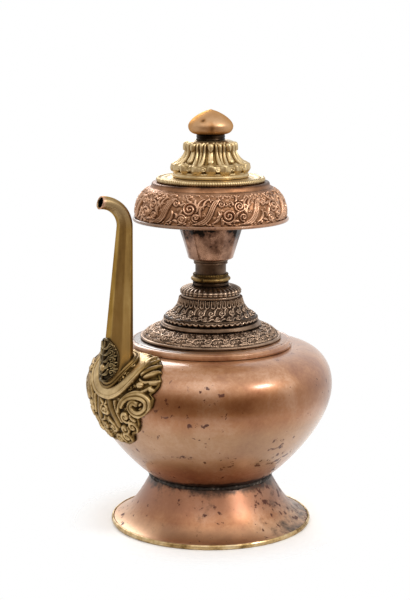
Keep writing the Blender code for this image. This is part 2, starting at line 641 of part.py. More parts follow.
def lobed(angle):
    """The outline of the escutcheon: the farthest edge of its lobes in one direction."""
    towards = Vector((math.cos(angle), abs(math.sin(angle))))
    far = COLLAR_WIDTH
    for lobe in ESCUTCHEON_LOBE_SHARES:
        up, side, radius = (share * shoulder_run for share in lobe)
        middle = Vector((COLLAR_CENTRE - up, side))
        along = middle.dot(towards)
        off = middle.length_squared - along * along
        if off < radius * radius:
            far = max(far, along + math.sqrt(radius * radius - off))
    return far


# Collar: a lip round the root of the spout, cut to let the spout through.
spout_collar = plate("spout_collar", on_collar, oval(0), 28, 2, PLATE_GAP, PLATE_GAP + COLLAR_THICKNESS,
                     OLD_BRASS, ewer)
room_rings = [spout_ring(stations[0], SEAT_GAP, drop=SEAT_GAP), spout_ring(stations[2], SEAT_GAP)]
cut(spout_collar, lofted("spout_room", room_rings, None, ewer, capped=True))

# Escutcheon: a lobed plate fitted to the body round the collar.
escutcheon = plate("spout_escutcheon", on_collar, lobed, ESCUTCHEON_SPOKES, ESCUTCHEON_RINGS,
                   PLATE_GAP, PLATE_GAP + ESCUTCHEON_THICKNESS, OLD_BRASS, ewer)
cut(escutcheon, plate("collar_room", on_collar, oval(SEAT_GAP), 28, 2, -PLATE_GAP,
                      2 * PLATE_GAP + COLLAR_THICKNESS, None, ewer))


def on_spout(up, swing, height):
    """A point over the shaft of the spout: up from its root, round from its front, and off it."""
    share = up / SPOUT_SHAFT_RISE
    reach = SPOUT_ROOT_REACH + (SPOUT_SHAFT_REACH - SPOUT_ROOT_REACH) * share
    radius = SPOUT_ROOT_RADIUS + (SPOUT_SHAFT_RADIUS - SPOUT_ROOT_RADIUS) * share
    far = radius + height
    return Vector((-reach - far * math.cos(swing), far * math.sin(swing), SPOUT_ROOT + up))


def on_leaf(x, y, height):
    """A point over the spout from the middle of the leaf; x runs up, y round the spout."""
    return on_spout(LEAF_FOOT_RISE + LEAF_HEIGHT / 2 + x, y / SPOUT_ROOT_RADIUS, height)


def leaf_shape(angle):
    """The outline of the leaf: drawn towards a point at both ends."""
    long = LEAF_HEIGHT / 2
    wide = LEAF_HALF_ANGLE * SPOUT_ROOT_RADIUS
    drawn = 1.6
    return (abs(math.cos(angle) / long) ** drawn + abs(math.sin(angle) / wide) ** drawn) ** (-1 / drawn)


# Leaf and boss: fixed to the front of the spout above the collar.
leaf_seat = SEAT_GAP
plate("spout_leaf", on_leaf, leaf_shape, 24, 3, leaf_seat, leaf_seat + LEAF_THICKNESS, BLACKENED, ewer)


def on_boss(x, y, height):
    """A point over the foot of the leaf."""
    return on_leaf(BOSS_RISE - LEAF_HEIGHT / 2 + x, y, height)


boss_seat = leaf_seat + LEAF_THICKNESS + SEAT_GAP
plate("leaf_boss", on_boss, lambda angle: BOSS_RADIUS, 12, 1, boss_seat, boss_seat + BOSS_HEIGHT,
      BRASS, ewer)
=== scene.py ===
import math

import bpy
import numpy as np
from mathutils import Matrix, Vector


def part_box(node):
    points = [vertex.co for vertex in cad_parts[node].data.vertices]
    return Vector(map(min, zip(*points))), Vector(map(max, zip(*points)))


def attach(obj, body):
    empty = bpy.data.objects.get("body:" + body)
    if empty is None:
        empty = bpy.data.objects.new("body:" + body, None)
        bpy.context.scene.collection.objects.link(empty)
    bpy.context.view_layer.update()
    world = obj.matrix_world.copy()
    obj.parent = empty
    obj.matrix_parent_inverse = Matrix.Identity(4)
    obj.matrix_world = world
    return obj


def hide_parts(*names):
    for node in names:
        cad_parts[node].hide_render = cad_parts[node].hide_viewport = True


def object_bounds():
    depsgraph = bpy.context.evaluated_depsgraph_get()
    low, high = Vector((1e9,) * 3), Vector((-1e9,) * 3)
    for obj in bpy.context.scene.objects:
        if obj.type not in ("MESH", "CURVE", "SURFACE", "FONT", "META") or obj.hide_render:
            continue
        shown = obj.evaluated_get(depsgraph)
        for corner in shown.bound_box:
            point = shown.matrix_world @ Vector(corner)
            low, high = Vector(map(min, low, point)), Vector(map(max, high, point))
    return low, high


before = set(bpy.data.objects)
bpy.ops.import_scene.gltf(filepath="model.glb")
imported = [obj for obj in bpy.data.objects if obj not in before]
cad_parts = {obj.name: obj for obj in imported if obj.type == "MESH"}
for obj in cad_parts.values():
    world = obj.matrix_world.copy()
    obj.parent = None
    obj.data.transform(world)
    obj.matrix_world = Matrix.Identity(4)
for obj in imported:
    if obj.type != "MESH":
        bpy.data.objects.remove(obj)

cad_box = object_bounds()
for spare in ("Cube", "Light", "Camera"):
    if spare in bpy.data.objects:
        bpy.data.objects.remove(bpy.data.objects[spare])

# Foot rim: the half-round ring that the ewer stands on. It is yellow brass wire bent
# round, soldered to the edge of the copper foot and filed flat underneath.
def linear(code):
    """A colour written as sRGB hex, as the linear value that a shader takes."""
    shares = [int(code[k:k + 2], 16) / 255 for k in (1, 3, 5)]
    return (*[v / 12.92 if v <= 0.04045 else ((v + 0.055) / 1.055) ** 2.4 for v in shares], 1)


def wired(tree, node, links):
    """Gives each input that is named a value or another node's output."""
    for socket, value in links.items():
        if isinstance(value, bpy.types.NodeSocket):
            tree.links.new(value, node.inputs[socket])
        else:
            node.inputs[socket].default_value = value


def add(tree, kind, links, stops=(), out=None, **settings):
    """Adds one node with its settings and links. It gives back the output named, or else the
    first one in use."""
    made = tree.nodes.new("ShaderNode" + kind)
    for name, value in settings.items():
        setattr(made, name, value)
    for place, (share, colour) in enumerate(stops):
        if place > 1:
            made.color_ramp.elements.new(share)
        made.color_ramp.elements[place].position = share
        made.color_ramp.elements[place].color = linear(colour)
    wired(tree, made, links)
    return made.outputs[out] if out else next(socket for socket in made.outputs if socket.enabled)


def started(name, constants):
    """A new material with its shader's constants, its node tree, its shader and the piece's own
    coordinates."""
    made = bpy.data.materials.new(name)
    made.use_nodes = True
    tree = made.node_tree
    shader = tree.nodes["Principled BSDF"]
    wired(tree, shader, constants)
    return made, tree, shader, add(tree, "TexCoord", {}, out="Object")


def bend(start, end, first, second, steps):
    """Points of one smooth curve; its two handles are shares of the way from start to end."""
    start, way = np.array(start), np.array(end) - np.array(start)
    t = np.linspace(0, 1, steps)[:, None]
    first, second = np.array(first), np.array(second)
    return start + way * (3 * t * (1 - t) ** 2 * first + 3 * t * t * (1 - t) * second + t ** 3)


def eased(line, reach):
    """A closed outline with its corners worn round over a small reach."""
    line = np.array(line)
    soft = []
    for point, back, on in zip(line, np.roll(line, 1, 0) - line, np.roll(line, -1, 0) - line):
        far_back, far_on = np.hypot(*back), np.hypot(*on)
        if back @ on < -0.94 * far_back * far_on:
            soft.append(point)
            continue
        a = point + back * min(reach / far_back, 0.45)
        b = point + on * min(reach / far_on, 0.45)
        soft += [a, (a + 4 * point + b) / 6, b]
    return np.array(soft)


def skinned(name, grid, around, along, relief=1.0):
    """A smooth quad skin over a grid of points, joined round its columns and along its rows. The
    attribute relief tells its material crest from ground."""
    rows, columns = grid.shape[:2]
    index = np.arange(rows * columns).reshape(rows, columns)
    if along:
        index = np.vstack([index, index[:1]])
    if around:
        index = np.hstack([index, index[:, :1]])
    quads = np.stack([index[:-1, :-1], index[:-1, 1:], index[1:, 1:], index[1:, :-1]], -1)
    mesh = bpy.data.meshes.new(name)
    mesh.from_pydata(grid.reshape(-1, 3).tolist(), [], quads.reshape(-1, 4).tolist())
    mesh.shade_smooth()
    crest = np.broadcast_to(np.asarray(relief, float), (rows, columns))
    mesh.attributes.new("relief", "FLOAT", "POINT").data.foreach_set("value", crest.ravel())
    piece = bpy.data.objects.new(name, mesh)
    bpy.context.scene.collection.objects.link(piece)
    piece.modifiers.new("even_normals", "WEIGHTED_NORMAL")
    return piece


def circle(count):
    """Angles at even steps all the way round."""
    return np.arange(count) * (math.tau / count)


def turned(name, line, columns, closed=True, raised=0.0, relief=1.0):
    """A skin turned round the axis from an outline that runs up its outside. raised lifts it
    along its own normal, row by row and column by column."""
    line = np.array(line)
    if closed:
        along = np.roll(line, -1, 0) - np.roll(line, 1, 0)
    else:
        along = np.gradient(line, axis=0)
    along /= np.hypot(*along.T)[:, None]
    angle = circle(columns)
    lift = np.broadcast_to(raised, (len(line), columns))
    radius = line[:, :1] + along[:, 1:] * lift
    level = line[:, 1:] - along[:, :1] * lift
    grid = np.stack([radius * np.cos(angle), radius * np.sin(angle), level], -1)
    return skinned(name, grid, True, closed, relief)


def uneven(angle, level, size, seed):
    """The slow waviness of hand work: a few waves with seeded phases, size at most."""
    random = np.random.default_rng(seed)
    total = 0
    counts = (2, 3, 5, 7, 11)
    for waves in counts:
        turn, slope = random.uniform(0, math.tau), random.uniform(-90, 90)
        total = total + np.cos(waves * angle + turn + slope * level) / len(counts)
    return size * total


def ramp(value, start, reach):
    """How far a value has come: 0 at its start and 1 a reach further on."""
    return np.clip((value - start) / reach, 0, 1)


def fit(piece, material, slot, body, *nodes):
    """Gives a piece its material and lets it stand for its solids on a body."""
    piece.data.materials.append(material)
    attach(piece, body)
    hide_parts(*nodes)


# Yellow brass, filed and handled: golden and satin, with brown tarnish in slow patches.
brass, tree, shader, where = started("filed_yellow_brass", {"Metallic": 1})
tarnish = add(tree, "TexNoise", {"Vector": where, "Scale": 1 / 0.007, "Detail": 5, "Roughness": 0.62})
tone = add(tree, "ValToRGB", {"Fac": tarnish},
           stops=[(0.34, "#7A6038"), (0.48, "#B89B6C"), (0.66, "#D6C098")])
gloss = add(tree, "MapRange", {"Value": tarnish, "From Min": 0.35, "From Max": 0.65, "To Min": 0.48,
                               "To Max": 0.28})
filing = add(tree, "TexNoise", {"Vector": where, "Scale": 1 / 0.0012, "Detail": 3})
dint = add(tree, "Bump", {"Height": filing, "Strength": 0.12, "Distance": 0.0003})
wired(tree, shader, {"Base Color": tone, "Roughness": gloss, "Normal": dint})

_, rim_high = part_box("foot_rim")
rim_radius, rim_height = rim_high.x, rim_high.z
rim_bulge, rim_width, rim_lip, rim_ledge = 0.0007, 0.0036, 0.0014, 0.0013
rise = np.linspace(0, 1, 9)
rim_side = np.stack([rim_radius - rim_bulge * (1 - np.sin(math.pi * rise)), rim_height * rise], 1)
rim_line = eased([(rim_radius - rim_width, 0), *rim_side, (rim_radius - rim_lip, rim_height),
                  (rim_radius - rim_lip, rim_ledge), (rim_radius - rim_width, rim_ledge)], 0.0003)
columns, rim_wear, rim_flat = 240, 0.00012, 0.0008
worn = uneven(circle(columns), rim_line[:, 1:], rim_wear, 3) - rim_wear
worn = worn * ramp(rim_line[:, 1:], 0, rim_flat)
rim = turned("foot_rim_ring", rim_line, columns, raised=worn)
fit(rim, brass, "turned_brass", "ewer", "foot_rim")

# Foot: a flared shell of copper sheet, open underneath, raised by hammer and set in the
# rim. It carries the body and is worn bright on its flare.
def leftward(line):
    """The way to the left of a line at each of its points, one unit long."""
    across = np.gradient(line, axis=0)[:, ::-1] * (-1, 1)
    return across / np.hypot(*across.T)[:, None]


def backed(line, sheet):
    """The closed outline of a sheet behind an outside line that runs upwards."""
    line = np.array(line)
    return np.vstack([line, (line + leftward(line) * sheet)[::-1]])


# Raised copper, planished, wiped and waxed: a rosy brown with slow patina. A warmer, darker band
# round the belly is a painted reflection of the dark room, a grey band below it is a painted
# reflection of the paper floor, and it is browner on the foot. Pits gather low down, soot lies
# round the solder seam, shadow under the disc's edge is painted on the shoulder ring, and a film
# of oxide lies over the shoulder, all under a thin gloss.
copper, tree, shader, where = started("planished_copper", {"Metallic": 1, "Coat Weight": 0.70,
                                                           "Coat Roughness": 0.17})
seam_level, sight = 0.0312, (0.83, -0.56, 0)
patina = add(tree, "TexNoise", {"Vector": where, "Scale": 1 / 0.030, "Detail": 6, "Roughness": 0.62,
                                "Distortion": 0.4})
grain = add(tree, "TexNoise", {"Vector": where, "Scale": 1 / 0.0022, "Detail": 6, "Roughness": 0.7})
mottle = add(tree, "Math", {0: grain, 1: 0.35, 2: patina}, operation="MULTIPLY_ADD")
tone = add(tree, "ValToRGB", {"Fac": mottle},
           stops=[(0.48, "#8A5636"), (0.675, "#AB7851"), (0.87, "#C69C7C")])
level = add(tree, "SeparateXYZ", {"Vector": where}, out="Z")
# Painted reflection: a warmer, darker band round the belly, for the dark room mirrored there.
rise = add(tree, "MapRange", {"Value": level, "From Min": 0.056, "From Max": 0.084, "To Max": 0.48},
           interpolation_type="SMOOTHSTEP")
fall = add(tree, "MapRange", {"Value": level, "From Min": 0.090, "From Max": 0.102, "To Max": 0.48},
           interpolation_type="SMOOTHSTEP")
dark_room_reflection = add(tree, "Math", {0: rise, 1: fall}, operation="SUBTRACT")
# Painted reflection: a grey band lower on the belly, for the paper floor mirrored there.
floor_reflection_top = add(tree, "MapRange", {"Value": level, "From Min": 0.080, "From Max": 0.066, "To Max": 0.45},
               interpolation_type="SMOOTHSTEP")
floor_reflection_foot = add(tree, "MapRange", {"Value": level, "From Min": 0.050, "From Max": 0.038, "To Max": 0.45},
                interpolation_type="SMOOTHSTEP")
floor_reflection = add(tree, "Math", {0: floor_reflection_top, 1: floor_reflection_foot}, operation="SUBTRACT")
under = add(tree, "Math", {0: level, 1: 0.031}, operation="LESS_THAN")
flared = add(tree, "MapRange", {"Value": level, "From Min": 0.008, "From Max": 0.018, "To Max": 0.75})
browned = add(tree, "Math", {0: flared, 1: under}, operation="MULTIPLY")
skirted = add(tree, "MapRange", {"Value": level, "From Min": 0.011, "From Max": 0.005, "To Max": 0.55})
wander = add(tree, "TexNoise", {"Vector": where, "Scale": 1 / 0.010, "Detail": 7, "Roughness": 0.72})
across = add(tree, "VectorMath", {0: where, 1: sight}, operation="DOT_PRODUCT")
over = add(tree, "Math", {0: level, 1: 2.5, 2: -seam_level * 2.5}, operation="MULTIPLY_ADD")
below = add(tree, "Math", {0: seam_level, 1: level}, operation="SUBTRACT")
apart = add(tree, "Math", {0: over, 1: below}, operation="MAXIMUM")
close = add(tree, "MapRange", {"Value": apart, "From Min": 0.0085, "From Max": 0.0010, "To Max": 0.56})
right = add(tree, "MapRange", {"Value": across, "From Min": -0.030, "From Max": 0.020, "To Min": 0.55})
deep = add(tree, "Math", {0: close, 1: right}, operation="MULTIPLY")
edge = add(tree, "MapRange", {"Value": across, "From Min": 0.026, "From Max": 0.054, "To Max": 0.22})
aside = add(tree, "Math", {0: edge, 1: under}, operation="MULTIPLY")
most = add(tree, "Math", {0: deep, 1: aside}, operation="MAXIMUM")
stain = add(tree, "Math", {0: wander, 1: most}, operation="ADD")
shade = add(tree, "MapRange", {"Value": stain, "From Min": 0.58, "From Max": 0.80, "To Max": 0.9})
low_down = add(tree, "Math", {0: level, 1: 0.0375}, operation="LESS_THAN")
sooty = add(tree, "Math", {0: shade, 1: low_down}, operation="MULTIPLY")
flat = add(tree, "VectorMath", {0: where, 1: (1, 1, 0)}, operation="MULTIPLY")
radius = add(tree, "VectorMath", {0: flat}, operation="LENGTH")
# Painted shadow on the shoulder ring's tread, under the edge of the disc, darker to the left.
angle = add(tree, "MapRange", {"Value": radius, "From Min": 0.0478, "From Max": 0.0456})
above = add(tree, "Math", {0: level, 1: 0.112}, operation="GREATER_THAN")
left = add(tree, "MapRange", {"Value": across, "From Min": 0.030, "From Max": -0.030, "To Min": 0.25,
                              "To Max": 0.9})
inner = add(tree, "Math", {0: angle, 1: above}, operation="MULTIPLY")
disc_shadow = add(tree, "Math", {0: inner, 1: left}, operation="MULTIPLY")
field = add(tree, "TexNoise", {"Vector": where, "Scale": 1 / 0.034, "Detail": 2})
lower = add(tree, "MapRange", {"Value": level, "From Min": 0.090, "From Max": 0.040, "To Min": -0.05,
                               "To Max": 0.06})
crowd = add(tree, "Math", {0: field, 1: lower}, operation="ADD")
speck = add(tree, "TexNoise", {"Vector": where, "Scale": 1 / 0.0044, "Detail": 4, "Roughness": 0.58})
dense = add(tree, "Math", {0: crowd, 1: 0.5, 2: speck}, operation="MULTIPLY_ADD")
pitted = add(tree, "MapRange", {"Value": dense, "From Min": 0.897, "From Max": 0.955, "To Max": 0.95})
colour = tone
for share, code in ((dark_room_reflection, "#824C24"), (floor_reflection, "#988063"), (browned, "#875840"), (skirted, "#CBA684"),
                    (sooty, "#2A1A0C"), (disc_shadow, "#2A1A10"), (pitted, "#56260F")):
    colour = add(tree, "Mix", {"Factor": share, "A": colour, "B": linear(code)}, data_type="RGBA")
gloss = add(tree, "MapRange", {"Value": patina, "From Min": 0.35, "From Max": 0.70, "To Min": 0.36,
                               "To Max": 0.44})
dull = add(tree, "Math", {0: pitted, 1: 0.3, 2: gloss}, operation="MULTIPLY_ADD")
scuffed = add(tree, "Math", {0: under, 1: 0.02, 2: dull}, operation="MULTIPLY_ADD")
film = add(tree, "MapRange", {"Value": level, "From Min": 0.090, "From Max": 0.104, "To Min": 1.0,
                              "To Max": 0.30}, interpolation_type="SMOOTHSTEP")
hammer = add(tree, "TexVoronoi", {"Vector": where, "Scale": 1 / 0.011, "Smoothness": 0.8},
             feature="SMOOTH_F1")
facets = add(tree, "Bump", {"Height": hammer, "Strength": 0.05, "Distance": 0.0015})
dint = add(tree, "Bump", {"Height": wander, "Strength": 0.06, "Distance": 0.0010, "Normal": facets})
wired(tree, shader, {"Base Color": colour, "Roughness": scuffed, "Metallic": film, "Normal": dint})

# Scuffed copper: the same metal, dulled by being set down, with a softer and broader sheen.
scuffed_copper = copper.copy()
scuffed_copper.name = "scuffed_copper"
shader = scuffed_copper.node_tree.nodes["Principled BSDF"]
wired(scuffed_copper.node_tree, shader, {"Coat Weight": 0.45, "Coat Roughness": 0.34})

foot_low, foot_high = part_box("foot")
foot_waist, foot_sheet, foot_edge = 0.0361, 0.0012, 0.0010
flare = bend((foot_high.x, foot_low.z + foot_edge), (foot_waist, foot_high.z),
             (0.53, 0.16), (0.79, 0.70), 48)
foot_line = eased(backed([(foot_high.x, foot_low.z), *flare], foot_sheet), 0.0003)
columns, foot_wave = 240, 0.00018
worked = uneven(circle(columns), foot_line[:, 1:], foot_wave, 5)
foot = turned("foot_flare", foot_line, columns, raised=worked)
fit(foot, scuffed_copper, "raised_copper", "ewer", "foot")

# Solder seam: the lumpy dark fillet where the body was run onto the foot. It was never
# cleaned off, so it is grey black with a dull crust.
seam, tree, shader, where = started("crusted_solder", {"Metallic": 0.7, "Roughness": 0.55})
crust = add(tree, "TexNoise", {"Vector": where, "Scale": 1 / 0.0025, "Detail": 5})
tone = add(tree, "ValToRGB", {"Fac": crust},
           stops=[(0.38, "#1C1612"), (0.58, "#3E352E"), (0.72, "#857A70")])
dint = add(tree, "Bump", {"Height": crust, "Strength": 0.5, "Distance": 0.0008})
wired(tree, shader, {"Base Color": tone, "Normal": dint})


def arc(out, level, wide, tall, turn):
    """Points of an outline round a middle, one at each angle."""
    return np.stack([out + wide * np.cos(turn), level + tall * np.sin(turn)], 1)


seam_out, seam_up, seam_wide, seam_tall = 0.0007, 0.0002, 0.0010, 0.0012
seam_line = arc(foot_waist + seam_out, foot_high.z + seam_up, seam_wide, seam_tall, circle(14))
columns = 300
swing, lumps = circle(columns), 0
for finer, steeper, size, seed in ((1, 0, 0.0005, 11), (4, 3, 0.0004, 12), (9, 9, 0.0003, 13)):
    lumps = lumps + uneven(swing * finer, seam_line[:, 1:] * steeper, size, seed)
solder = turned("solder_fillet", seam_line, columns, raised=lumps)
fit(solder, seam, "dark_solder", "ewer", "foot_solder_seam")

# Body: the vessel itself, one copper sheet raised from a disc to a flat floor, a full
# belly and a low shoulder, with a hole for the neck tube.
body_low, body_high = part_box("body")
belly_radius, belly_level, shoulder_radius, neck_radius = body_high.y, 0.0860, 0.0497, 0.0095
belly = bend((foot_waist, body_low.z), (belly_radius, belly_level), (0.577, 0.304), (1, 0.698), 64)
shoulder = bend((belly_radius, belly_level), (shoulder_radius, body_high.z), (0, 0.56), (0.318, 0.98), 56)
floor_hole = 0.001
body_line = np.vstack([[(floor_hole, body_low.z)], belly, shoulder[1:], [(neck_radius, body_high.z)]])
columns, body_wave, wave_start, wave_full = 288, 0.00022, 0.045, 0.065
worked = uneven(circle(columns), body_line[:, 1:], body_wave, 21) - body_wave
worked = worked * ramp(body_line[:, :1], wave_start, wave_full - wave_start)
body = turned("body_vessel", body_line, columns, closed=False, raised=worked)
fit(body, copper, "raised_copper", "ewer", "body")

# Shoulder ring: a plain copper step under the ornament, spun from sheet, with a sharp
# wall, a rolled edge and two scribed lines on its tread.
ring_low, ring_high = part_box("shoulder_ring")
ring_radius, ring_level, ring_top = ring_high.x, ring_low.z, ring_high.z
ring_inner, ring_wall, ring_roll = 0.0374, 0.0028, 0.0003
ring_line = eased([(ring_inner, ring_level), (ring_radius - ring_roll, ring_level),
                   (ring_radius, ring_level + 0.0012), (ring_radius - ring_roll, ring_level + ring_wall),
                   (ring_radius - 0.0012, ring_level + ring_wall + 0.0006),
                   (0.0466, ring_level + 0.0036), (0.0463, ring_level + 0.0032),
                   (0.0459, ring_level + 0.0037), (0.0433, ring_top), (ring_inner, ring_top)], 0.0003)
ring = turned("shoulder_step", ring_line, 240)
fit(ring, copper, "raised_copper", "ewer", "shoulder_ring")

# Chased disc: a low dome of copper sheet with a plain rolled rim. Its top is chased all
# over with small running scrolls and leaves, dark in the ground and worn on the crests.
def half_round(across):
    """The height of a half-round, for a place across it from -1 to 1."""
    return np.sqrt(np.clip(1 - across ** 2, 0, 1))


def raised_work(x, y, strokes):
    """Height of chased relief over points x, y. A stroke is rows of x, y, half-width, height."""
    high = np.zeros(x.shape)
    for stroke in strokes:
        far = stroke[:, 2].max()
        low_x, low_y = stroke[:, 0].min() - far, stroke[:, 1].min() - far
        top_x, top_y = stroke[:, 0].max() + far, stroke[:, 1].max() + far
        near = (x > low_x) & (x < top_x) & (y > low_y) & (y < top_y)
        off = np.hypot(x[near][:, None] - stroke[:, 0], y[near][:, None] - stroke[:, 1]) / stroke[:, 2]
        closest = off.argmin(1) if near.any() else np.zeros(0, int)
        share = off[np.arange(len(closest)), closest]
        high[near] = np.maximum(high[near], stroke[closest, 3] * half_round(share))
    return high


def volute(x, y, radius, turns, start, hand, width, height):
    """A stroke that winds in from its start angle to a boss, hand 1 or -1."""
    t = np.linspace(0, 1, 70)
    far = radius * (1 - 0.9 * t)
    angle = math.radians(start) + hand * math.tau * turns * t
    wide = width * np.maximum(0.55 + 0.45 * np.sin(math.pi * t), t > 0.96)
    return np.stack([x + far * np.cos(angle), y + far * np.sin(angle), wide, height + 0 * t], 1)


def leaflet(x0, y0, x1, y1, bow, width, height):
    """A stroke that swells and tapers like a leaf, bowed to its left by a share of its length."""
    t = np.linspace(0, 1, 30)
    across = 4 * bow * t * (1 - t)
    wide = width * (0.25 + 0.75 * np.sin(math.pi * np.clip(t * 0.9 + 0.06, 0, 1)) ** 0.8)
    return np.stack([x0 + (x1 - x0) * t - (y1 - y0) * across, y0 + (y1 - y0) * t + (x1 - x0) * across,
                     wide, height + 0 * t], 1)


def run_along(line):
    """How far each point of a line is from its start."""
    return np.concatenate([[0], np.cumsum(np.hypot(*np.diff(line, axis=0).T))])


def spaced(line, step):
    """The same line with points at even steps, and how far along each is."""
    run = run_along(line)
    at = np.linspace(0, run[-1], max(int(run[-1] / step), 2))
    return np.stack([np.interp(at, run, line[:, 0]), np.interp(at, run, line[:, 1])], 1), at


def relief_metal(name, patch, stops, dull, bright):
    """Old metal whose worn crests shine over a darker ground. The attribute relief gives crest and
    ground, and patch is the size of the slow grime."""
    metal, tree, shader, where = started(name, {"Metallic": 1})
    crest = add(tree, "Attribute", {}, out="Fac", attribute_name="relief")
    grime = add(tree, "TexNoise", {"Vector": where, "Scale": 1 / patch, "Detail": 5, "Roughness": 0.6})
    veil = add(tree, "MapRange", {"Value": grime, "From Min": 0.3, "From Max": 0.7, "To Min": 0.0,
                                  "To Max": 0.3})
    rubbed = add(tree, "Math", {0: crest, 1: 0.7, 2: veil}, operation="MULTIPLY_ADD")
    tone = add(tree, "ValToRGB", {"Fac": rubbed}, stops=stops)
    gloss = add(tree, "MapRange", {"Value": rubbed, "From Min": 0.15, "From Max": 0.85, "To Min": dull,
                                   "To Max": bright})
    grain = add(tree, "TexNoise", {"Vector": where, "Scale": 1 / 0.0011, "Detail": 3})
    dint = add(tree, "Bump", {"Height": grain, "Strength": 0.15, "Distance": 0.0003})
    wired(tree, shader, {"Base Color": tone, "Roughness": gloss, "Normal": dint})
    return metal


def spray(x, y, first, last, count, reach, width, height):
    """Leaves that fan out from one point between two angles in degrees."""
    turns = np.radians(np.linspace(first, last, count))
    return [leaflet(x + 0.22 * reach * math.cos(a), y + 0.22 * reach * math.sin(a),
                    x + reach * math.cos(a), y + reach * math.sin(a), 0.12, width, height) for a in turns]


def crowded(x, y, work, wide, seed, tries, size, height):
    """Fills ground that is still bare with small sprays and curls at seeded places; the work
    repeats after wide."""
    random = np.random.default_rng(seed)
    for _ in range(tries):
        i, j = random.integers(0, x.shape[0]), random.integers(0, x.shape[1])
        turn, kind = random.uniform(0, 360), random.uniform(0, 1)
        at_x, at_y = x[i, j], y[i, j]
        near = (np.abs(x - at_x) < size) & (np.abs(y - at_y) < size)
        if work[near].max() > height * 0.4:
            continue
        for aside in (-wide, 0, wide):
            if kind < 0.4:
                hand = 1 if kind < 0.2 else -1
                made = [volute(at_x + aside, at_y, size * 1.1, 1.2, turn, hand, size * 0.30, height)]
            else:
                made = spray(at_x + aside, at_y, turn, turn + 220, 4, size * 1.35, size * 0.36, height)
            work = np.maximum(work, raised_work(x, y, made))
    return work


def painted_relief_shading(work, reach):
    """How far relief stands over what is round it: below zero in the grooves beside a crest.
    Added to a tone, it is painted shade in those grooves and painted light on the crest.
    """
    soft = work
    for _ in range(reach):
        soft = (np.roll(soft, 1, 1) + 2 * soft + np.roll(soft, -1, 1)) / 4
        soft = (np.vstack([soft[:1], soft[:-1]]) + 2 * soft + np.vstack([soft[1:], soft[-1:]])) / 4
    return work - soft


def on_rows(values, line, rest, first=0):
    """The values of the worked rows of an outline, with rest on its other rows."""
    whole = np.full((len(line), values.shape[1]), float(rest))
    whole[first:first + len(values)] = values
    return whole


# Chased copper, darkened by age: brown ground between fine scrolls whose crests are
# rubbed back to a pale rosy grey.
chased = relief_metal("chased_aged_copper", 0.009, [(0.12, "#2B1F18"), (0.40, "#6F5947"),
                                                    (0.85, "#B99C84")], 0.48, 0.34)

disc_low, disc_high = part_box("chased_disc")
disc_radius, disc_level, disc_top = disc_high.x, disc_low.z, disc_high.z
disc_hole, disc_inner, disc_sheet, disc_round = 0.0240, 0.0302, 0.001, 0.0009
disc_roll = arc(disc_radius - disc_round, disc_level + disc_round, disc_round, disc_round,
                np.linspace(-0.9, 2.2, 12))
disc_dome = bend((disc_radius - 0.0017, disc_level + 0.0018), (disc_inner, disc_top),
                 (0.16, 0.44), (0.50, 0.92), 60)
disc_dome, disc_run = spaced(disc_dome, 0.00026)
disc_line = np.vstack([disc_roll, disc_dome, [(disc_hole, disc_top), (disc_hole, disc_top - disc_sheet),
                                              (disc_radius - 0.004, disc_level)]])
columns = 880
scroll_repeats = 22
scroll_radius = 0.0362
scroll_width = math.tau * scroll_radius / scroll_repeats
disc_mid = disc_run[-1] * 0.5
strokes = []
for k in (-1, 0, 1):
    for up in (1, -1):
        x, y = (k + 0.5 + 0.25 * up) * scroll_width, disc_mid + up * 0.0021
        strokes += [volute(x, y, 0.0025, 1.7, -90 * up, up, 0.00042, 0.00055),
                    leaflet(x - 0.0036, y - up * 0.0044, x + 0.0024, y - up * 0.0022, 0.2 * up,
                            0.0005, 0.0005)]
        strokes += spray(x - 0.0002, y + up * 0.0020, 90 * up - 75, 90 * up + 75, 6,
                         0.0024, 0.00042, 0.0005)
cell = columns // scroll_repeats
spin, climb = np.meshgrid(np.arange(cell) / cell * scroll_width, disc_run)
work = crowded(spin, climb, raised_work(spin, climb, strokes), scroll_width, 32, 160, 0.0009, 0.0005)
work = np.tile(work, (1, scroll_repeats))
climb = np.tile(climb, (1, scroll_repeats))
work *= np.clip(np.minimum(climb, disc_run[-1] - climb) / 0.0005, 0, 1)
disc_sink, rolled_tone = 0.0002, 0.62
lift = on_rows(work - disc_sink, disc_line, 0, len(disc_roll))
# The tone is the wear on the crests, plus painted shade in the grooves beside them and painted light on
# them.
worn = np.clip(0.36 + work * 360 + painted_relief_shading(work, 8) * 2600, 0, 1)
worn = on_rows(worn, disc_line, rolled_tone, len(disc_roll))
disc = turned("chased_dome", disc_line, columns, raised=lift, relief=worn)
fit(disc, chased, "chased_copper", "ewer", "chased_disc")

# Disc bead: a plain copper ring, turned with one shoulder, that the bell stands on. It is
# as dark as the disc and has no work on it.
bead_low, bead_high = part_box("disc_bead")
bead_radius, bead_level, bead_top = bead_high.x, bead_low.z, bead_high.z
bead_hole = 0.0257
bead_line = eased([(bead_hole, bead_level), (bead_radius - 0.0006, bead_level),
                   (bead_radius, bead_level + 0.0007), (bead_radius, bead_level + 0.0012),
                   (bead_radius - 0.0006, bead_level + 0.0015),
                   (bead_radius - 0.0007, bead_level + 0.0022), (bead_radius - 0.0013, bead_top),
                   (bead_hole, bead_top)], 0.0003)
bead = turned("disc_bead_ring", bead_line, 200, relief=0.42)
fit(bead, chased, "raised_copper", "ewer", "disc_bead")

# Lotus bell: a hollow copper bell, chased with an upper row of upright petals and a lower
# row of curls and leaves over a scalloped hem. It was blackened, and the crests are rubbed.

# Blackened copper: dark brown in the ground, grey brown on the flats, and a little pale
# metal where hands have worn the crests.
blackened = relief_metal("blackened_copper", 0.008, [(0.10, "#1A120C"), (0.38, "#514032"),
                                                     (0.85, "#B49982")], 0.48, 0.26)

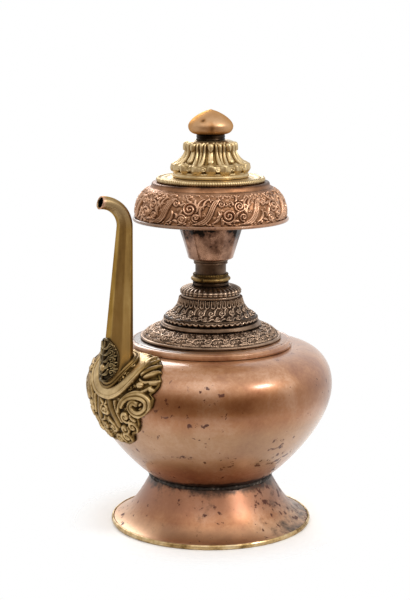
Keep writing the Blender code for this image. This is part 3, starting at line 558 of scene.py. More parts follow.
bell_low, bell_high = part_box("lotus_bell")
bell_radius, bell_level, bell_top = bell_high.x, bell_low.z, bell_high.z
bell_waist, bell_hole, bell_inner, bell_sheet = 0.0190, 0.0151, 0.0240, 0.001
bell_flank = bend((bell_radius - 0.0008, bell_level + 0.0038), (bell_waist, bell_top),
                  (0.42, 0.04), (0.90, 0.42), 80)
bell_hem = np.array([(bell_radius - 0.0004, bell_level), (bell_radius - 0.0001, bell_level + 0.0010),
                     (bell_radius - 0.0001, bell_level + 0.0024)])
bell_skin, bell_run = spaced(np.vstack([bell_hem, bell_flank]), 0.00022)
bell_line = np.vstack([bell_skin, [(bell_hole, bell_top), (bell_hole, bell_top - bell_sheet),
                                   (bell_inner, bell_level)]])
columns = 960
bell_middle = 0.024
bell_girth = math.tau * bell_middle
scallops, curls, uprights, bell_work = 48, 22, 36, 0.0007
random = np.random.default_rng(37)
strokes = []
for k in range(-1, scallops + 1):
    x = k * bell_girth / scallops
    strokes.append(leaflet(x - 0.0013, 0.0022, x + 0.0013, 0.0022, -0.42, 0.00075, bell_work))
for k in range(-1, curls + 1):
    x = k * bell_girth / curls + random.uniform(-0.0003, 0.0003)
    strokes += [volute(x, 0.0072, 0.0021, 1.4, 200, 1, 0.0006, bell_work),
                volute(x + 0.0034, 0.0112, 0.0021, 1.4, 20, -1, 0.0006, bell_work),
                leaflet(x + 0.0014, 0.0050, x + 0.0048, 0.0074, 0.2, 0.0008, 0.0006),
                leaflet(x - 0.0012, 0.0100, x + 0.0008, 0.0142, 0.2, 0.0008, 0.0006),
                leaflet(x + 0.0022, 0.0078, x + 0.0040, 0.0088, 0.2, 0.0006, 0.0006)]
for k in range(-1, uprights + 1):
    x = k * bell_girth / uprights + random.uniform(-0.0002, 0.0002)
    strokes += [leaflet(x, 0.0184, x, 0.0162, 0, 0.0005, 0.0006),
                leaflet(x - 0.0014, 0.0152, x + 0.0014, 0.0152, -0.35, 0.0006, bell_work)]
    for side in (x + 0.0013, x - 0.0013):
        strokes.append(leaflet(side, 0.0190, side, 0.0150, 0, 0.00055, bell_work))
spin, climb = np.meshgrid(circle(columns) * bell_middle, bell_run)
work = raised_work(spin, climb, strokes) / bell_work
work *= np.random.default_rng(38).uniform(0.75, 1.0, work.shape)
lift = on_rows((work - 0.75) * bell_work, bell_line, 0)
# The tone is the wear on the crests, plus painted shade in the grooves beside them and painted light on
# them.
worn = on_rows(np.clip(0.30 + work * 0.28 + painted_relief_shading(work, 8) * 1.9, 0, 1), bell_line, 0.3)
bell = turned("lotus_bell_skin", bell_line, columns, raised=lift, relief=worn)
fit(bell, blackened, "blackened_copper", "ewer", "lotus_bell")

# Petal cap: a low copper dome of fine radiating petals, each ending in a small bead on
# the cap's edge, over a plain fillet. It is threaded over the neck tube.
cap_low, cap_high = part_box("petal_cap")
cap_radius, cap_level, cap_top = cap_high.x, cap_low.z, cap_high.z
cap_inner, cap_sheet = 0.0118, 0.001
cap_dome = bend((cap_radius - 0.0001, cap_level + 0.0034), (cap_inner, cap_top),
                (0.05, 0.50), (0.45, 0.92), 50)
cap_foot = [(cap_radius - 0.0010, cap_level), (cap_radius - 0.0009, cap_level + 0.0011),
            (cap_radius - 0.0014, cap_level + 0.0013), (cap_radius - 0.0004, cap_level + 0.0022)]
cap_skin, cap_run = spaced(np.vstack([cap_foot, cap_dome]), 0.0002)
cap_line = np.vstack([cap_skin, [(neck_radius, cap_top), (neck_radius, cap_top - cap_sheet),
                                 (cap_radius - 0.004, cap_level)]])
columns = 720
cap_petals = 36
fillet_run, ledge_run, tip_run, petal_run = 0.0013, 0.0020, 0.0030, 0.0036
spin, climb = np.meshgrid(np.arange(columns) * (cap_petals / columns), cap_run)
side = np.abs((spin % 1) - 0.5) * 2
tip = np.clip(1 - (side / 0.85) ** 2 - ((climb - tip_run) / 0.0009) ** 2, 0, 1) ** 0.5
row = ramp(climb, petal_run, cap_run[-1] - petal_run)
petal = half_round(side / 0.82) * ramp(row, 0, 0.1) * (1 - 0.4 * row)
petal = np.where(climb > petal_run, petal * (0.7 + 0.4 * (side < 0.3)), 0)
plain = np.where(climb < fillet_run, 0.6, 0)
work = np.maximum(np.maximum(tip, petal * 0.8), plain)
lift = on_rows(np.where(climb < ledge_run, 0, (work - 0.8) * 0.0006), cap_line, 0)
# The tone is the wear on the crests, plus painted shade in the grooves beside them and painted light on
# them.
worn = on_rows(np.clip(0.44 + work * 0.36 + painted_relief_shading(work, 8) * 1.5, 0, 1), cap_line, 0.35)
cap = turned("petal_cap_skin", cap_line, columns, raised=lift, relief=worn)
fit(cap, blackened, "blackened_copper", "ewer", "petal_cap")

# Neck mouldings: a short brass sleeve, a nicked brass ring with a thin roped fillet over
# it, and a dark two-step bead, all threaded over the neck tube.

# Cast brass, dulled by handling: pale yellow crests, brown green tarnish in the hollows.
cast = relief_metal("dull_cast_brass", 0.008, [(0.10, "#32230F"), (0.42, "#8B6F40"), (0.88, "#CAB287")],
                    0.52, 0.40)


def tube_side(low, high, bore, soft):
    """The outline of a plain tube or washer that fills a box, with its edges worn round."""
    return eased([(bore, low.z), (high.x, low.z), (high.x, high.z), (bore, high.z)], soft)


def closed_evenly(line, step):
    """A closed outline with points at even steps."""
    return spaced(np.vstack([line, line[:1]]), step)[0][:-1]


def turned_away(swing, place):
    """How far each angle lies from a place, the short way round."""
    return (swing - place + math.pi) % math.tau - math.pi


ferrule_low, ferrule_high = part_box("neck_ferrule")
ferrule_line = tube_side(ferrule_low, ferrule_high, neck_radius, 0.0002)
ferrule = turned("neck_sleeve", ferrule_line, 120, relief=0.15)
fit(ferrule, blackened, "cast_brass", "ewer", "neck_ferrule")
knot_low, knot_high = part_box("neck_ring")
knot_radius, knot_level, knot_top = knot_high.x, knot_low.z, knot_high.z
rise = np.linspace(0, math.pi, 16)
knot_crest, knot_deep = 0.0036, 0.0017
knot_side = np.stack([knot_radius - knot_deep * (1 - np.sin(rise)),
                      knot_level + knot_crest * rise / math.pi], 1)
knot_line = eased([(neck_radius, knot_level), *knot_side, (0.0106, knot_level + 0.0038),
                   (0.0107, knot_level + 0.0044), (0.0104, knot_top), (neck_radius, knot_top)], 0.0002)
columns = 240
swing, nick, nick_wide = circle(columns), np.zeros(columns), 0.07
for place, deep in ((-2.62, 0.0005), (-1.75, 0.0002), (-0.9, 0.0004), (0.4, 0.0003), (1.7, 0.0005)):
    nick -= deep * np.exp(-(turned_away(swing, place) / nick_wide) ** 2)
rope_deep, rope_strands = 0.00018, 44
knot_up, knot_out = knot_line[:, 1:] - knot_level, knot_line[:, :1]
rope = np.where((knot_up > 0.0039) & (knot_out > 0.0100),
                rope_deep * np.cos(swing * rope_strands) - rope_deep, 0)
bulge = (knot_up > 0.0004) & (knot_up < 0.0034) & (knot_out > 0.011)
tarnish = np.clip(np.where(bulge, 0.42 + 600 * nick, 0.10 + 300 * rope), 0, 1)
knot = turned("neck_ring_torus", knot_line, columns, raised=np.where(bulge, nick, rope), relief=tarnish)
fit(knot, cast, "turned_brass", "ewer", "neck_ring")
tube_low, tube_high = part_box("neck_tube")
tube_bore = 0.0082
tube_line = closed_evenly(tube_side(tube_low, tube_high, tube_bore, 0.0002), 0.0015)
tube = turned("neck_tube_copper", tube_line, 120, relief=0.16)
fit(tube, chased, "chased_copper", "ewer", "neck_tube")
collet_low, collet_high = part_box("neck_bead")
collet_radius, collet_level, collet_top = collet_high.x, collet_low.z, collet_high.z
collet_line = eased([(neck_radius, collet_level), (collet_radius - 0.0004, collet_level),
                     (collet_radius - 0.0002, collet_level + 0.0006),
                     (collet_radius - 0.0004, collet_level + 0.0012),
                     (collet_radius - 0.0008, collet_level + 0.0014),
                     (collet_radius, collet_level + 0.0017), (collet_radius, collet_top),
                     (neck_radius, collet_top)], 0.0002)
collet = turned("neck_bead_step", collet_line, 120, relief=0.30)
fit(collet, chased, "blackened_copper", "ewer", "neck_bead")

# Cup: a plain copper cone between the neck and the collar, planished in upright facets
# and never polished, so it keeps dark oxide under the collar and in streaks.

# Unpolished copper: brown copper under dark oxide that is thickest at the top.
oxide, tree, shader, where = started("oxidised_copper", {"Metallic": 1})
streak = add(tree, "TexNoise", {"Vector": where, "Scale": 1 / 0.010, "Detail": 6, "Roughness": 0.66})
level = add(tree, "SeparateXYZ", {"Vector": where}, out="Z")
top = add(tree, "MapRange", {"Value": level, "From Min": 0.168, "From Max": 0.180, "To Min": 0.15,
                             "To Max": -0.12})
shown = add(tree, "Math", {0: streak, 1: top}, operation="ADD")
tone = add(tree, "ValToRGB", {"Fac": shown},
           stops=[(0.40, "#1A1511"), (0.46, "#66493A"), (0.72, "#B08870")])
gloss = add(tree, "MapRange", {"Value": shown, "From Min": 0.35, "From Max": 0.65, "To Min": 0.40,
                               "To Max": 0.22})
dint = add(tree, "Bump", {"Height": streak, "Strength": 0.1, "Distance": 0.0005})
wired(tree, shader, {"Base Color": tone, "Roughness": gloss, "Normal": dint})

cup_low, cup_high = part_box("cup")
cup_level, cup_top = cup_low.z, cup_high.z
cup_foot, cup_round, cup_sheet, cup_sides = 0.0136, 0.0012, 0.0012, 12
cup_foot_round = arc(cup_foot - cup_round, cup_level + cup_round, cup_round, cup_round,
                     np.linspace(-math.pi / 2, 0, 7))
cup_wall, _ = spaced(np.array([cup_foot_round[-1], (cup_high.x, cup_top)]), 0.002)
cup_line = backed(np.vstack([[(neck_radius, cup_level)], cup_foot_round, cup_wall[1:]]), cup_sheet)
front, cup_turn = math.radians(-124), 0.2
columns, sharp, facet_rise = 192, 200, 0.01
stake = np.maximum(np.cos(circle(columns)[:, None] - front - cup_turn - circle(cup_sides)), 0)
facets = cup_line[:, :1] * ((stake ** sharp).sum(1) ** (-1 / sharp) * math.cos(math.pi / cup_sides) - 1)
facets = facets * ramp(cup_line[:, 1:], cup_level, facet_rise)
facets[len(cup_line) // 2:] = 0
cup = turned("cup_cone", cup_line, columns, raised=facets)
fit(cup, oxide, "raised_copper", "ewer", "cup")

# Collar: the wide copper flange round the mouth, raised in repousse with a running vine
# of S-stems, volutes and leaves. A plain step round its crown takes the lid.

# Repousse copper, cleaned but not polished: rosy brown crests over a browner ground.
repousse = relief_metal("repousse_copper", 0.012, [(0.08, "#42291B"), (0.36, "#8C6346"),
                                                   (0.85, "#C89E80")], 0.44, 0.33)


def ridge(line, width, height):
    """A stroke along a line, whose half-width and height are set or change on the way."""
    level = np.zeros(len(line))
    return np.column_stack([line, level + width, level + height])


collar_low, collar_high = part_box("flange")
collar_radius, collar_level, collar_top = collar_high.x, collar_low.z, collar_high.z
collar_wall, step_level, step_radius = 0.0050, collar_top - 0.0030, 0.0372
mouth_radius, seat_radius, collar_sheet = 0.0136, 0.0344, 0.0010
collar_dome = bend((collar_radius, collar_level + collar_wall), (step_radius, step_level),
                   (0.02, 0.50), (0.55, 0.87), 60)
collar_skin, collar_run = spaced(np.vstack([[(collar_radius, collar_level)], collar_dome]), 0.00030)
collar_crown = np.array([(0.0366, step_level + 0.0001), (0.0361, step_level - 0.0002),
                         (0.0356, step_level + 0.0003), (0.0351, step_level + 0.0015),
                         (0.0349, collar_top - 0.0006), (seat_radius, collar_top), (0.0330, collar_top),
                         (0.0240, collar_top), (mouth_radius, collar_top)])
# Painted shadow: dark in the groove under the step and in a line under the lid plate's edge.
crown_tone_and_shadow = np.array([0.34, 0.06, 0.30, 0.34, 0.05, 0.02, 0.02])
collar_line = backed(np.vstack([collar_skin, collar_crown]), collar_sheet)
columns = 980
vine_repeats = 10
vine_radius = 0.0430
vine_width = math.tau * vine_radius / vine_repeats
lane_gap = 0.00105
run = np.linspace(0, 1, 60)
strokes = []
for k in (-2, -1, 0, 1, 2, 3):
    x = k * vine_width
    sweep = bend((x - 0.0096, 0.0030), (x + 0.0056, 0.0178), (0.80, 0.00), (0.52, 0.78), 60)
    across = leftward(sweep)
    for lane in (-lane_gap, 0, lane_gap):
        line = sweep + across * (lane * np.clip(2.4 * np.sin(math.pi * run), 0, 1)[:, None])
        strokes.append(ridge(line, 0.00044 + 0.00014 * np.sin(math.pi * run), 0.0013))
    strokes += [volute(x + 0.0062, 0.0150, 0.0022, 1.4, 100, -1, 0.0006, 0.0012),
                volute(x - 0.0082, 0.0070, 0.0024, 1.4, -80, -1, 0.0006, 0.0012),
                leaflet(x - 0.0056, 0.0074, x - 0.0022, 0.0146, 0.25, 0.0009, 0.0011),
                leaflet(x - 0.0072, 0.0110, x - 0.0034, 0.0184, 0.2, 0.0009, 0.0010),
                leaflet(x - 0.0040, 0.0120, x - 0.0004, 0.0184, 0.2, 0.0009, 0.0010),
                leaflet(x + 0.0010, 0.0038, x + 0.0044, 0.0106, -0.25, 0.0009, 0.0011)]
    pair = ((0.0102, 0.0080, 0.0042, 1, 200), (0.0168, 0.0134, 0.0034, -1, 20))
    if k % 2:
        pair = ((0.0108, 0.0058, 0.0030, -1, 160), (0.0150, 0.0118, 0.0044, 1, -20))
    for at_x, at_y, wide, hand, first in pair:
        strokes.append(volute(x + at_x, at_y, wide, 2.0, first, hand, 0.0007, 0.0013))
        for lobe in range(first - 40, first + 200, 48):
            start, end = math.radians(lobe), math.radians(lobe + 26 * hand)
            near, far = wide + 0.0004, wide + 0.0026
            strokes.append(leaflet(x + at_x + near * math.cos(start), at_y + near * math.sin(start),
                                   x + at_x + far * math.cos(end), at_y + far * math.sin(end),
                                   0.2 * hand, 0.0009, 0.0011))
cell = columns * 2 // vine_repeats
spin, climb = np.meshgrid(np.arange(cell) / cell * vine_width * 2, collar_run)
work = raised_work(spin, climb, strokes)
for seed, tries, size, height in ((42, 400, 0.0023, 0.0009), (44, 400, 0.0015, 0.0008),
                                  (43, 500, 0.0009, 0.0005)):
    work = crowded(spin, climb, work, vine_width * 2, seed, tries, size, height)
shift = int(round((front % math.tau) / math.tau * columns))
work = np.roll(np.tile(work, (1, vine_repeats // 2)), shift, 1)
climb = np.tile(climb, (1, vine_repeats // 2))
work *= ramp(climb, 0.0022, 0.0008) * ramp(climb, collar_run[-1] - 0.0006, -0.0008)
edging = np.clip(1 - (climb / 0.0027) ** 2, 0, 1)
vine_sink, plain_tone = 0.0008, 0.34
lift = on_rows(work - vine_sink * ramp(climb, 0, 0.003), collar_line, 0)
# The tone is the wear on the crests, plus painted shade in the grooves beside them and painted light on
# them.
worn = np.clip(0.45 + 0.2 * edging + work * 150 + painted_relief_shading(work, 8) * 1250, 0, 1)
worn = on_rows(worn, collar_line, plain_tone)
worn[len(collar_skin):len(collar_skin) + len(crown_tone_and_shadow)] = crown_tone_and_shadow[:, None]
flange = turned("collar_repousse", collar_line, columns, raised=lift, relief=worn)
fit(flange, repousse, "chased_copper", "ewer", "flange")

# Collar wire: a plain copper half-round wire that stiffens the lower edge of the collar,
# soldered round it.
wire_low, wire_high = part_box("flange_rim")
wire_inner, wire_wide, wire_half = collar_radius + 0.0001, 0.0011, 0.00105
wire_side = arc(wire_high.x - wire_wide, (wire_low.z + wire_high.z) / 2, wire_wide, wire_half,
                np.linspace(-1.35, 1.5, 10))
wire_line = np.vstack([[(wire_inner, wire_low.z)], wire_side, [(wire_inner, wire_high.z)]])
wire = turned("collar_wire", wire_line, 240)
fit(wire, copper, "raised_copper", "ewer", "flange_rim")

# Mouth tube: a short copper tube in the crown of the collar that guides the lid's plug. Its
# dark oxide shows only when the lid is off.
throat_low, throat_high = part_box("mouth_collar")
throat_sheet = 0.0010
throat_line = tube_side(throat_low, throat_high, throat_high.x - throat_sheet, 0.0003)
throat = turned("mouth_tube", closed_evenly(throat_line, 0.0006), 120)
fit(throat, oxide, "raised_copper", "ewer", "mouth_collar")

# Lid plate: a flat turned brass disc with a beaded edge. It drops on the crown of the
# collar and carries everything above it.
lid_low, lid_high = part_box("lid_plate")
lid_radius, lid_level, lid_top = lid_high.x, lid_low.z, lid_high.z
rivet_hole = 0.0025
edge_in, edge_wide = 0.0012, 0.0010
edge_round = arc(lid_radius - edge_in, lid_level + edge_in, edge_wide, edge_in,
                 np.linspace(-1.2, 1.57, 12))
lid_under = [(rivet_hole, lid_level), (lid_radius - edge_in, lid_level)]
lid_face = [(0.0306, lid_top), (0.0302, lid_top - 0.0004), (0.0297, lid_top - 0.0004), (0.0292, lid_top),
            (0.0286, lid_top), (0.0262, lid_top), (0.0258, lid_top - 0.0003), (0.0254, lid_top),
            (0.0180, lid_top), (rivet_hole, lid_top)]
lid_line = np.vstack([lid_under, edge_round, lid_face])
columns, half_beads, bead_swell = 1056, 66, 0.00024
bead_row = on_rows(np.ones((len(edge_round), 1)), lid_line, 0, len(lid_under)) > 0
beads = np.sqrt(np.abs(np.sin(circle(columns) * half_beads))) * bead_row
# Painted shade: the groove near the plate's edge is dark.
plate_tone_and_groove_shade = on_rows(np.array([[0.20], [0.20], [0.60]]), lid_line, 0.98,
                     len(lid_under) + len(edge_round) + 1)
lid = turned("lid_disc", lid_line, columns, raised=beads * bead_swell,
             relief=np.where(bead_row, 0.35 + 0.65 * beads, plate_tone_and_groove_shade))
fit(lid, cast, "turned_brass", "lid", "lid_plate")

# Lid lotus: a hollow brass casting of eight petals that hang from a crown and turn out at
# their tips, with a fold between each two, on a lumpy rim and a plain base ring.
def flowing(points, step):
    """A smooth line along a chain of points, cut at its corners, with points at even steps."""
    line = np.array(points)
    for _ in range(3):
        cut = np.stack([0.75 * line[:-1] + 0.25 * line[1:], 0.25 * line[:-1] + 0.75 * line[1:]], 1)
        line = np.vstack([line[:1], cut.reshape(-1, 2), line[-1:]])
    return spaced(line, step)[0]


lotus_low, lotus_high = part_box("lid_lotus")
lotus_level, lotus_top = lotus_low.z, lotus_high.z
lotus_tall = lotus_top - lotus_level
lotus_waist, lotus_crown, lotus_sheet = 0.0151, 0.0100, 0.0014
lotus_base = np.array([(0.0222, lotus_level), (0.0226, lotus_level + 0.0006),
                       (0.0226, lotus_level + 0.0014), (0.0222, lotus_level + 0.0019),
                       (0.0222, lotus_level + 0.0026), (0.0228, lotus_level + 0.0036),
                       (0.0234, lotus_level + 0.0050), (0.0232, lotus_level + 0.0066)])
lotus_flank = bend((0.0229, lotus_level + 0.0078), (lotus_waist, lotus_level + lotus_tall * 0.72),
                   (0.42, 0.12), (0.88, 0.52), 60)
lotus_shoulder = bend((lotus_waist, lotus_level + lotus_tall * 0.84), (lotus_crown, lotus_top),
                      (0.02, 0.60), (0.35, 0.95), 24)
lotus_skin, lotus_run = spaced(np.vstack([lotus_base, lotus_flank, lotus_shoulder]), 0.00022)
lotus_inside = [(rivet_hole, lotus_top), (rivet_hole, lotus_top - lotus_sheet),
                (0.0086, lotus_top - lotus_sheet), (0.0118, lotus_level + lotus_tall * 0.86),
                (0.0122, lotus_level + lotus_tall * 0.72), (0.0150, lotus_level + lotus_tall * 0.42),
                (0.0190, lotus_level + 0.0070), (0.0196, lotus_level + 0.0040), (0.0202, lotus_level)]
lotus_line = np.vstack([lotus_skin, lotus_inside])
columns, petals, petal_wide, petal_high = 1024, 8, 0.0150, 0.0016
border = flowing([(0.0040, 0.0254), (0.0044, 0.0200), (0.0049, 0.0160), (0.0054, 0.0125),
                  (0.0066, 0.0092), (0.0073, 0.0066)], 0.0004)
border_wide = np.interp(border[:, 1], (0.0090, 0.0130, 0.0250), (0.0018, 0.0015, 0.0010))
border_high = np.interp(border[:, 1], (0.0070, 0.0130), (0.0018, 0.0022))
fold = np.linspace((petal_wide / 2, 0.0256), (petal_wide / 2, 0.0130), 50)
strokes = []
for hand in (1, -1):
    strokes += [ridge(border * (hand, 1), border_wide, border_high),
                ridge(fold * (hand, 1), np.linspace(0.0021, 0.0010, 50), np.linspace(0.0020, 0.0012, 50)),
                leaflet(hand * 0.0070, 0.0092, hand * 0.0066, 0.0038, 0, 0.0031, 0.0018),
                volute(hand * 0.0037, 0.0064, 0.0014, 1.1, 90, hand, 0.0008, 0.0017)]
tongue = np.linspace((0, 0.0206), (0, 0.0148), 30)
beak = np.linspace((0, 0.0104), (0, 0.0046), 30)
beak_wide = 0.0020 + 0.0013 * np.sin(np.linspace(0.2, 2.6, 30))
strokes += [ridge(tongue, 0.0024, 0.0018), ridge(beak, beak_wide, np.linspace(0.0022, 0.0018, 30)),
            leaflet(0, 0.0256, 0, 0.0204, 0, 0.0027, 0.0028)]
cell = columns // petals
spin, climb = np.meshgrid((np.arange(cell) / cell - 0.5) * petal_wide, lotus_run)
plain = ramp(climb, 0.0240, 0.0020) + ramp(climb, 0.0038, -0.0006)
scallop = 0.0048 - 0.0009 * np.cos(spin * (2 * math.tau / petal_wide))
skirt = 0.0014 * ramp(climb, scallop, 0.0010) * ramp(climb, 0.0124, -0.0016)
work = np.maximum(raised_work(spin, climb, strokes), skirt) * (1 - plain) + petal_high * plain
shift = int(round((front % math.tau) / math.tau * columns)) - cell // 2
tiled = np.roll(np.tile(work, (1, petals)), shift, 1)
turn, climb = np.meshgrid(circle(columns), lotus_run)
rim_band = ramp(climb, 0.0110, -0.0015) * ramp(climb, 0.0032, 0.0010)
tiled *= 1 + rim_band * uneven(turn * 3, climb * 5, 0.55, 62)
lift = on_rows(tiled - petal_high + uneven(turn, climb, 0.0003, 61), lotus_line, 0)
# The tone is the wear on the crests, plus painted shade in the grooves beside them and painted light on
# them.
worn = on_rows(np.clip(0.38 + tiled * 320 + painted_relief_shading(tiled, 12) * 1000, 0, 1), lotus_line, 0.45)
lotus = turned("lid_lotus_casting", lotus_line, columns, raised=lift, relief=worn)
fit(lotus, cast, "turned_brass", "lid", "lid_lotus")

# Knob sleeve: a short sleeve of blackened copper between the lotus and the knob, turned
# with a low step round its foot.
sleeve_low, sleeve_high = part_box("knob_collar")
sleeve_radius, sleeve_level, sleeve_top = sleeve_high.x, sleeve_low.z, sleeve_high.z
sleeve_line = eased([(rivet_hole, sleeve_level), (sleeve_radius, sleeve_level),
                     (sleeve_radius - 0.0005, sleeve_level + 0.0011),
                     (sleeve_radius - 0.0002, sleeve_level + 0.0015),
                     (sleeve_radius - 0.0004, sleeve_top), (rivet_hole, sleeve_top)], 0.0003)
sleeve = turned("knob_sleeve", sleeve_line, 120, relief=0.06)
fit(sleeve, blackened, "blackened_copper", "lid", "knob_collar")

# Knob: a jewel-shaped copper knob with a soft point, hammered over a core and polished by
# hands. A dent and an upright stain mark its front.

# Handled copper: warm orange brown and glossy, darker in the stain and near the foot.
handled, tree, shader, where = started("handled_copper", {"Metallic": 1,
                                                          "Specular Tint": linear("#D8BC98")})
crest = add(tree, "Attribute", {}, out="Fac", attribute_name="relief")
cloud = add(tree, "TexNoise", {"Vector": where, "Scale": 1 / 0.009, "Detail": 5, "Roughness": 0.6})
stained = add(tree, "Math", {0: crest, 1: 0.6, 2: -0.1}, operation="MULTIPLY_ADD")
shown = add(tree, "Math", {0: cloud, 1: 0.5, 2: stained}, operation="MULTIPLY_ADD")
tone = add(tree, "ValToRGB", {"Fac": shown},
           stops=[(0.15, "#2E1C0E"), (0.60, "#AA7D53"), (0.90, "#CFA982")])
gloss = add(tree, "MapRange", {"Value": cloud, "From Min": 0.35, "From Max": 0.65, "To Min": 0.52,
                               "To Max": 0.42})
dint = add(tree, "Bump", {"Height": cloud, "Strength": 0.12, "Distance": 0.0006})
wired(tree, shader, {"Base Color": tone, "Roughness": gloss, "Normal": dint})

knob_low, knob_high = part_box("knob")
knob_radius, knob_level, knob_top = knob_high.x, knob_low.z, knob_high.z
knob_base, knob_belly, near_axis = 0.0094, (knob_radius, knob_level + 0.0046), 0.00005
knob_under = bend((knob_base, knob_level), knob_belly, (0.55, 0.10), (1, 0.45), 20)
knob_over = bend(knob_belly, (near_axis, knob_top), (0, 0.30), (0.42, 0.80), 44)
knob_hole = [(rivet_hole, knob_level + 0.006), (rivet_hole, knob_level)]
knob_line = np.vstack([knob_hole, knob_under, knob_over[1:]])
columns, dent_deep = 160, 0.0005


def knob_mark(place, wide, rise, tall):
    """A soft mark on the knob: how strong it is, row by row and column by column."""
    away = turned_away(circle(columns), front + place)
    return np.exp(-(away / wide) ** 2 - ((knob_line[:, 1:] - (knob_level + rise)) / tall) ** 2)


dent = knob_mark(-0.42, 0.12, 0.0086, 0.0009)
stain = 0.55 * knob_mark(0.06, 0.10, 0.0040, 0.0028)
foot_shade = 0.5 * (1 - ramp(knob_line[:, 1:], knob_level, 0.0020))
knob = turned("jewel_knob", knob_line, columns, closed=False, raised=-dent_deep * dent,
              relief=1 - np.clip(dent * 0.9 + stain + foot_shade, 0, 1))
fit(knob, handled, "raised_copper", "lid", "knob")

# Lid fixings: the brass plug that centres the lid in the mouth, and the rivet and washer
# under the plate that hold plate, lotus, sleeve and knob together.
plug_low, plug_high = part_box("lid_plug")
plug_sheet = 0.0010
plug_line = tube_side(plug_low, plug_high, plug_high.x - plug_sheet, 0.0003)
plug = turned("lid_plug_tube", closed_evenly(plug_line, 0.0006), 120)
fit(plug, brass, "turned_brass", "lid", "lid_plug")
washer_low, washer_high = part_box("tang_washer")
washer_line = tube_side(washer_low, washer_high, rivet_hole, 0.0002)
washer = turned("rivet_washer", washer_line, 96, relief=0.4)
fit(washer, cast, "cast_brass", "lid", "tang_washer")
rivet_low, rivet_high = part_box("knob_tang")
rivet_radius, rivet_level, rivet_top = rivet_high.x, rivet_low.z, rivet_high.z
shank_radius, rivet_head = 0.0022, rivet_level + 0.0015
rivet_line = [(near_axis, rivet_level), (rivet_radius * 0.4, rivet_level + 0.0001),
              (rivet_radius * 0.75, rivet_level + 0.0004), (rivet_radius, rivet_level + 0.0011),
              (rivet_radius, rivet_head), (shank_radius, rivet_head), (shank_radius, rivet_top - 0.0003),
              (shank_radius - 0.0003, rivet_top), (near_axis, rivet_top)]
rivet = turned("knob_rivet", rivet_line, 96, closed=False, relief=0.5)
fit(rivet, cast, "cast_brass", "lid", "knob_tang")

# Spout: a tube of brass sheet, seamed at the back and hammered over an eight-sided stake,
# which turns round where it bends out. It stands on the shoulder and is open to the body.

# Satin brass sheet: olive gold, rubbed lengthwise, paler low down and at the bend, with a
# rosy worn lip.
sheet, tree, shader, where = started("satin_sheet_brass", {"Metallic": 1,
                                                           "Specular Tint": linear("#C8A870")})
crest = add(tree, "Attribute", {}, out="Fac", attribute_name="relief")
upright = add(tree, "Mapping", {"Vector": where, "Scale": (1, 1, 0.10)})
rub = add(tree, "TexNoise", {"Vector": upright, "Scale": 1 / 0.0030, "Detail": 5})
cloud = add(tree, "TexNoise", {"Vector": where, "Scale": 1 / 0.014, "Detail": 4})
half = add(tree, "Math", {0: cloud, 1: 0.5}, operation="MULTIPLY")
both = add(tree, "Math", {0: rub, 1: 0.5, 2: half}, operation="MULTIPLY_ADD")
tone = add(tree, "ValToRGB", {"Fac": both},
           stops=[(0.34, "#70562F"), (0.50, "#947542"), (0.68, "#B0925C")])
level = add(tree, "SeparateXYZ", {"Vector": where}, out="Z")
bent = add(tree, "MapRange", {"Value": level, "From Min": 0.184, "From Max": 0.194, "To Max": 0.85})
low = add(tree, "MapRange", {"Value": level, "From Min": 0.150, "From Max": 0.110, "To Max": 0.75})
lip = add(tree, "MapRange", {"Value": crest, "From Min": 1.0, "From Max": 1.5})
bore = add(tree, "MapRange", {"Value": crest, "From Min": 0.8, "From Max": 0.2})
colour = tone
for share, code in ((bent, "#9A8462"), (low, "#AE8E56"), (lip, "#C09880"), (bore, "#1E150C")):
    colour = add(tree, "Mix", {"Factor": share, "A": colour, "B": linear(code)}, data_type="RGBA")
gloss = add(tree, "MapRange", {"Value": rub, "From Min": 0.35, "From Max": 0.65, "To Min": 0.48,
                               "To Max": 0.40})
dint = add(tree, "Bump", {"Height": rub, "Strength": 0.06, "Distance": 0.0003})
wired(tree, shader, {"Base Color": colour, "Roughness": gloss, "Normal": dint})

root_reach, root_level, root_radius = 0.0655, 0.0962, 0.0094
shaft_reach, shaft_level, shaft_radius = 0.0596, 0.1844, 0.0048
tip_reach, tip_level, tip_radius, slant = 0.0755, 0.1999, 0.0037, math.radians(16)
shaft_way, stations = np.array([shaft_reach - root_reach, shaft_level - root_level]), 40
lean = math.atan2(*shaft_way)
share = np.linspace(0, 1, stations)
shaft_line = np.array([root_reach, root_level]) + share[:, None] * shaft_way
bow_rise = 0.55
bow = (math.tan(lean) * bow_rise * (tip_level - shaft_level) / (tip_reach - shaft_reach), bow_rise)
bend_line = bend((shaft_reach, shaft_level), (tip_reach, tip_level), bow, (0.42, 1), stations)
spout_line = np.vstack([shaft_line, bend_line[1:]])
spout_radius = np.concatenate([np.linspace(root_radius, shaft_radius, stations),
                               np.linspace(shaft_radius, tip_radius, stations)[1:]])
spout_round = np.concatenate([0 * share, share[1:]])
heading = np.gradient(spout_line, axis=0)
heading = np.arctan2(heading[:, 0], heading[:, 1])
heading[-1] = math.pi / 2
sides, crisp = 8, 60
angle = circle(96)
facing = np.maximum(np.cos(angle[:, None] - circle(sides)), 0)
octagon = (facing ** crisp).sum(1) ** (-1 / crisp) * math.cos(math.pi / sides)
last, cut_rings, wall, bore_end = len(spout_line) - 1, 6, 0.0010, 44
limit = cad_box[0][0]


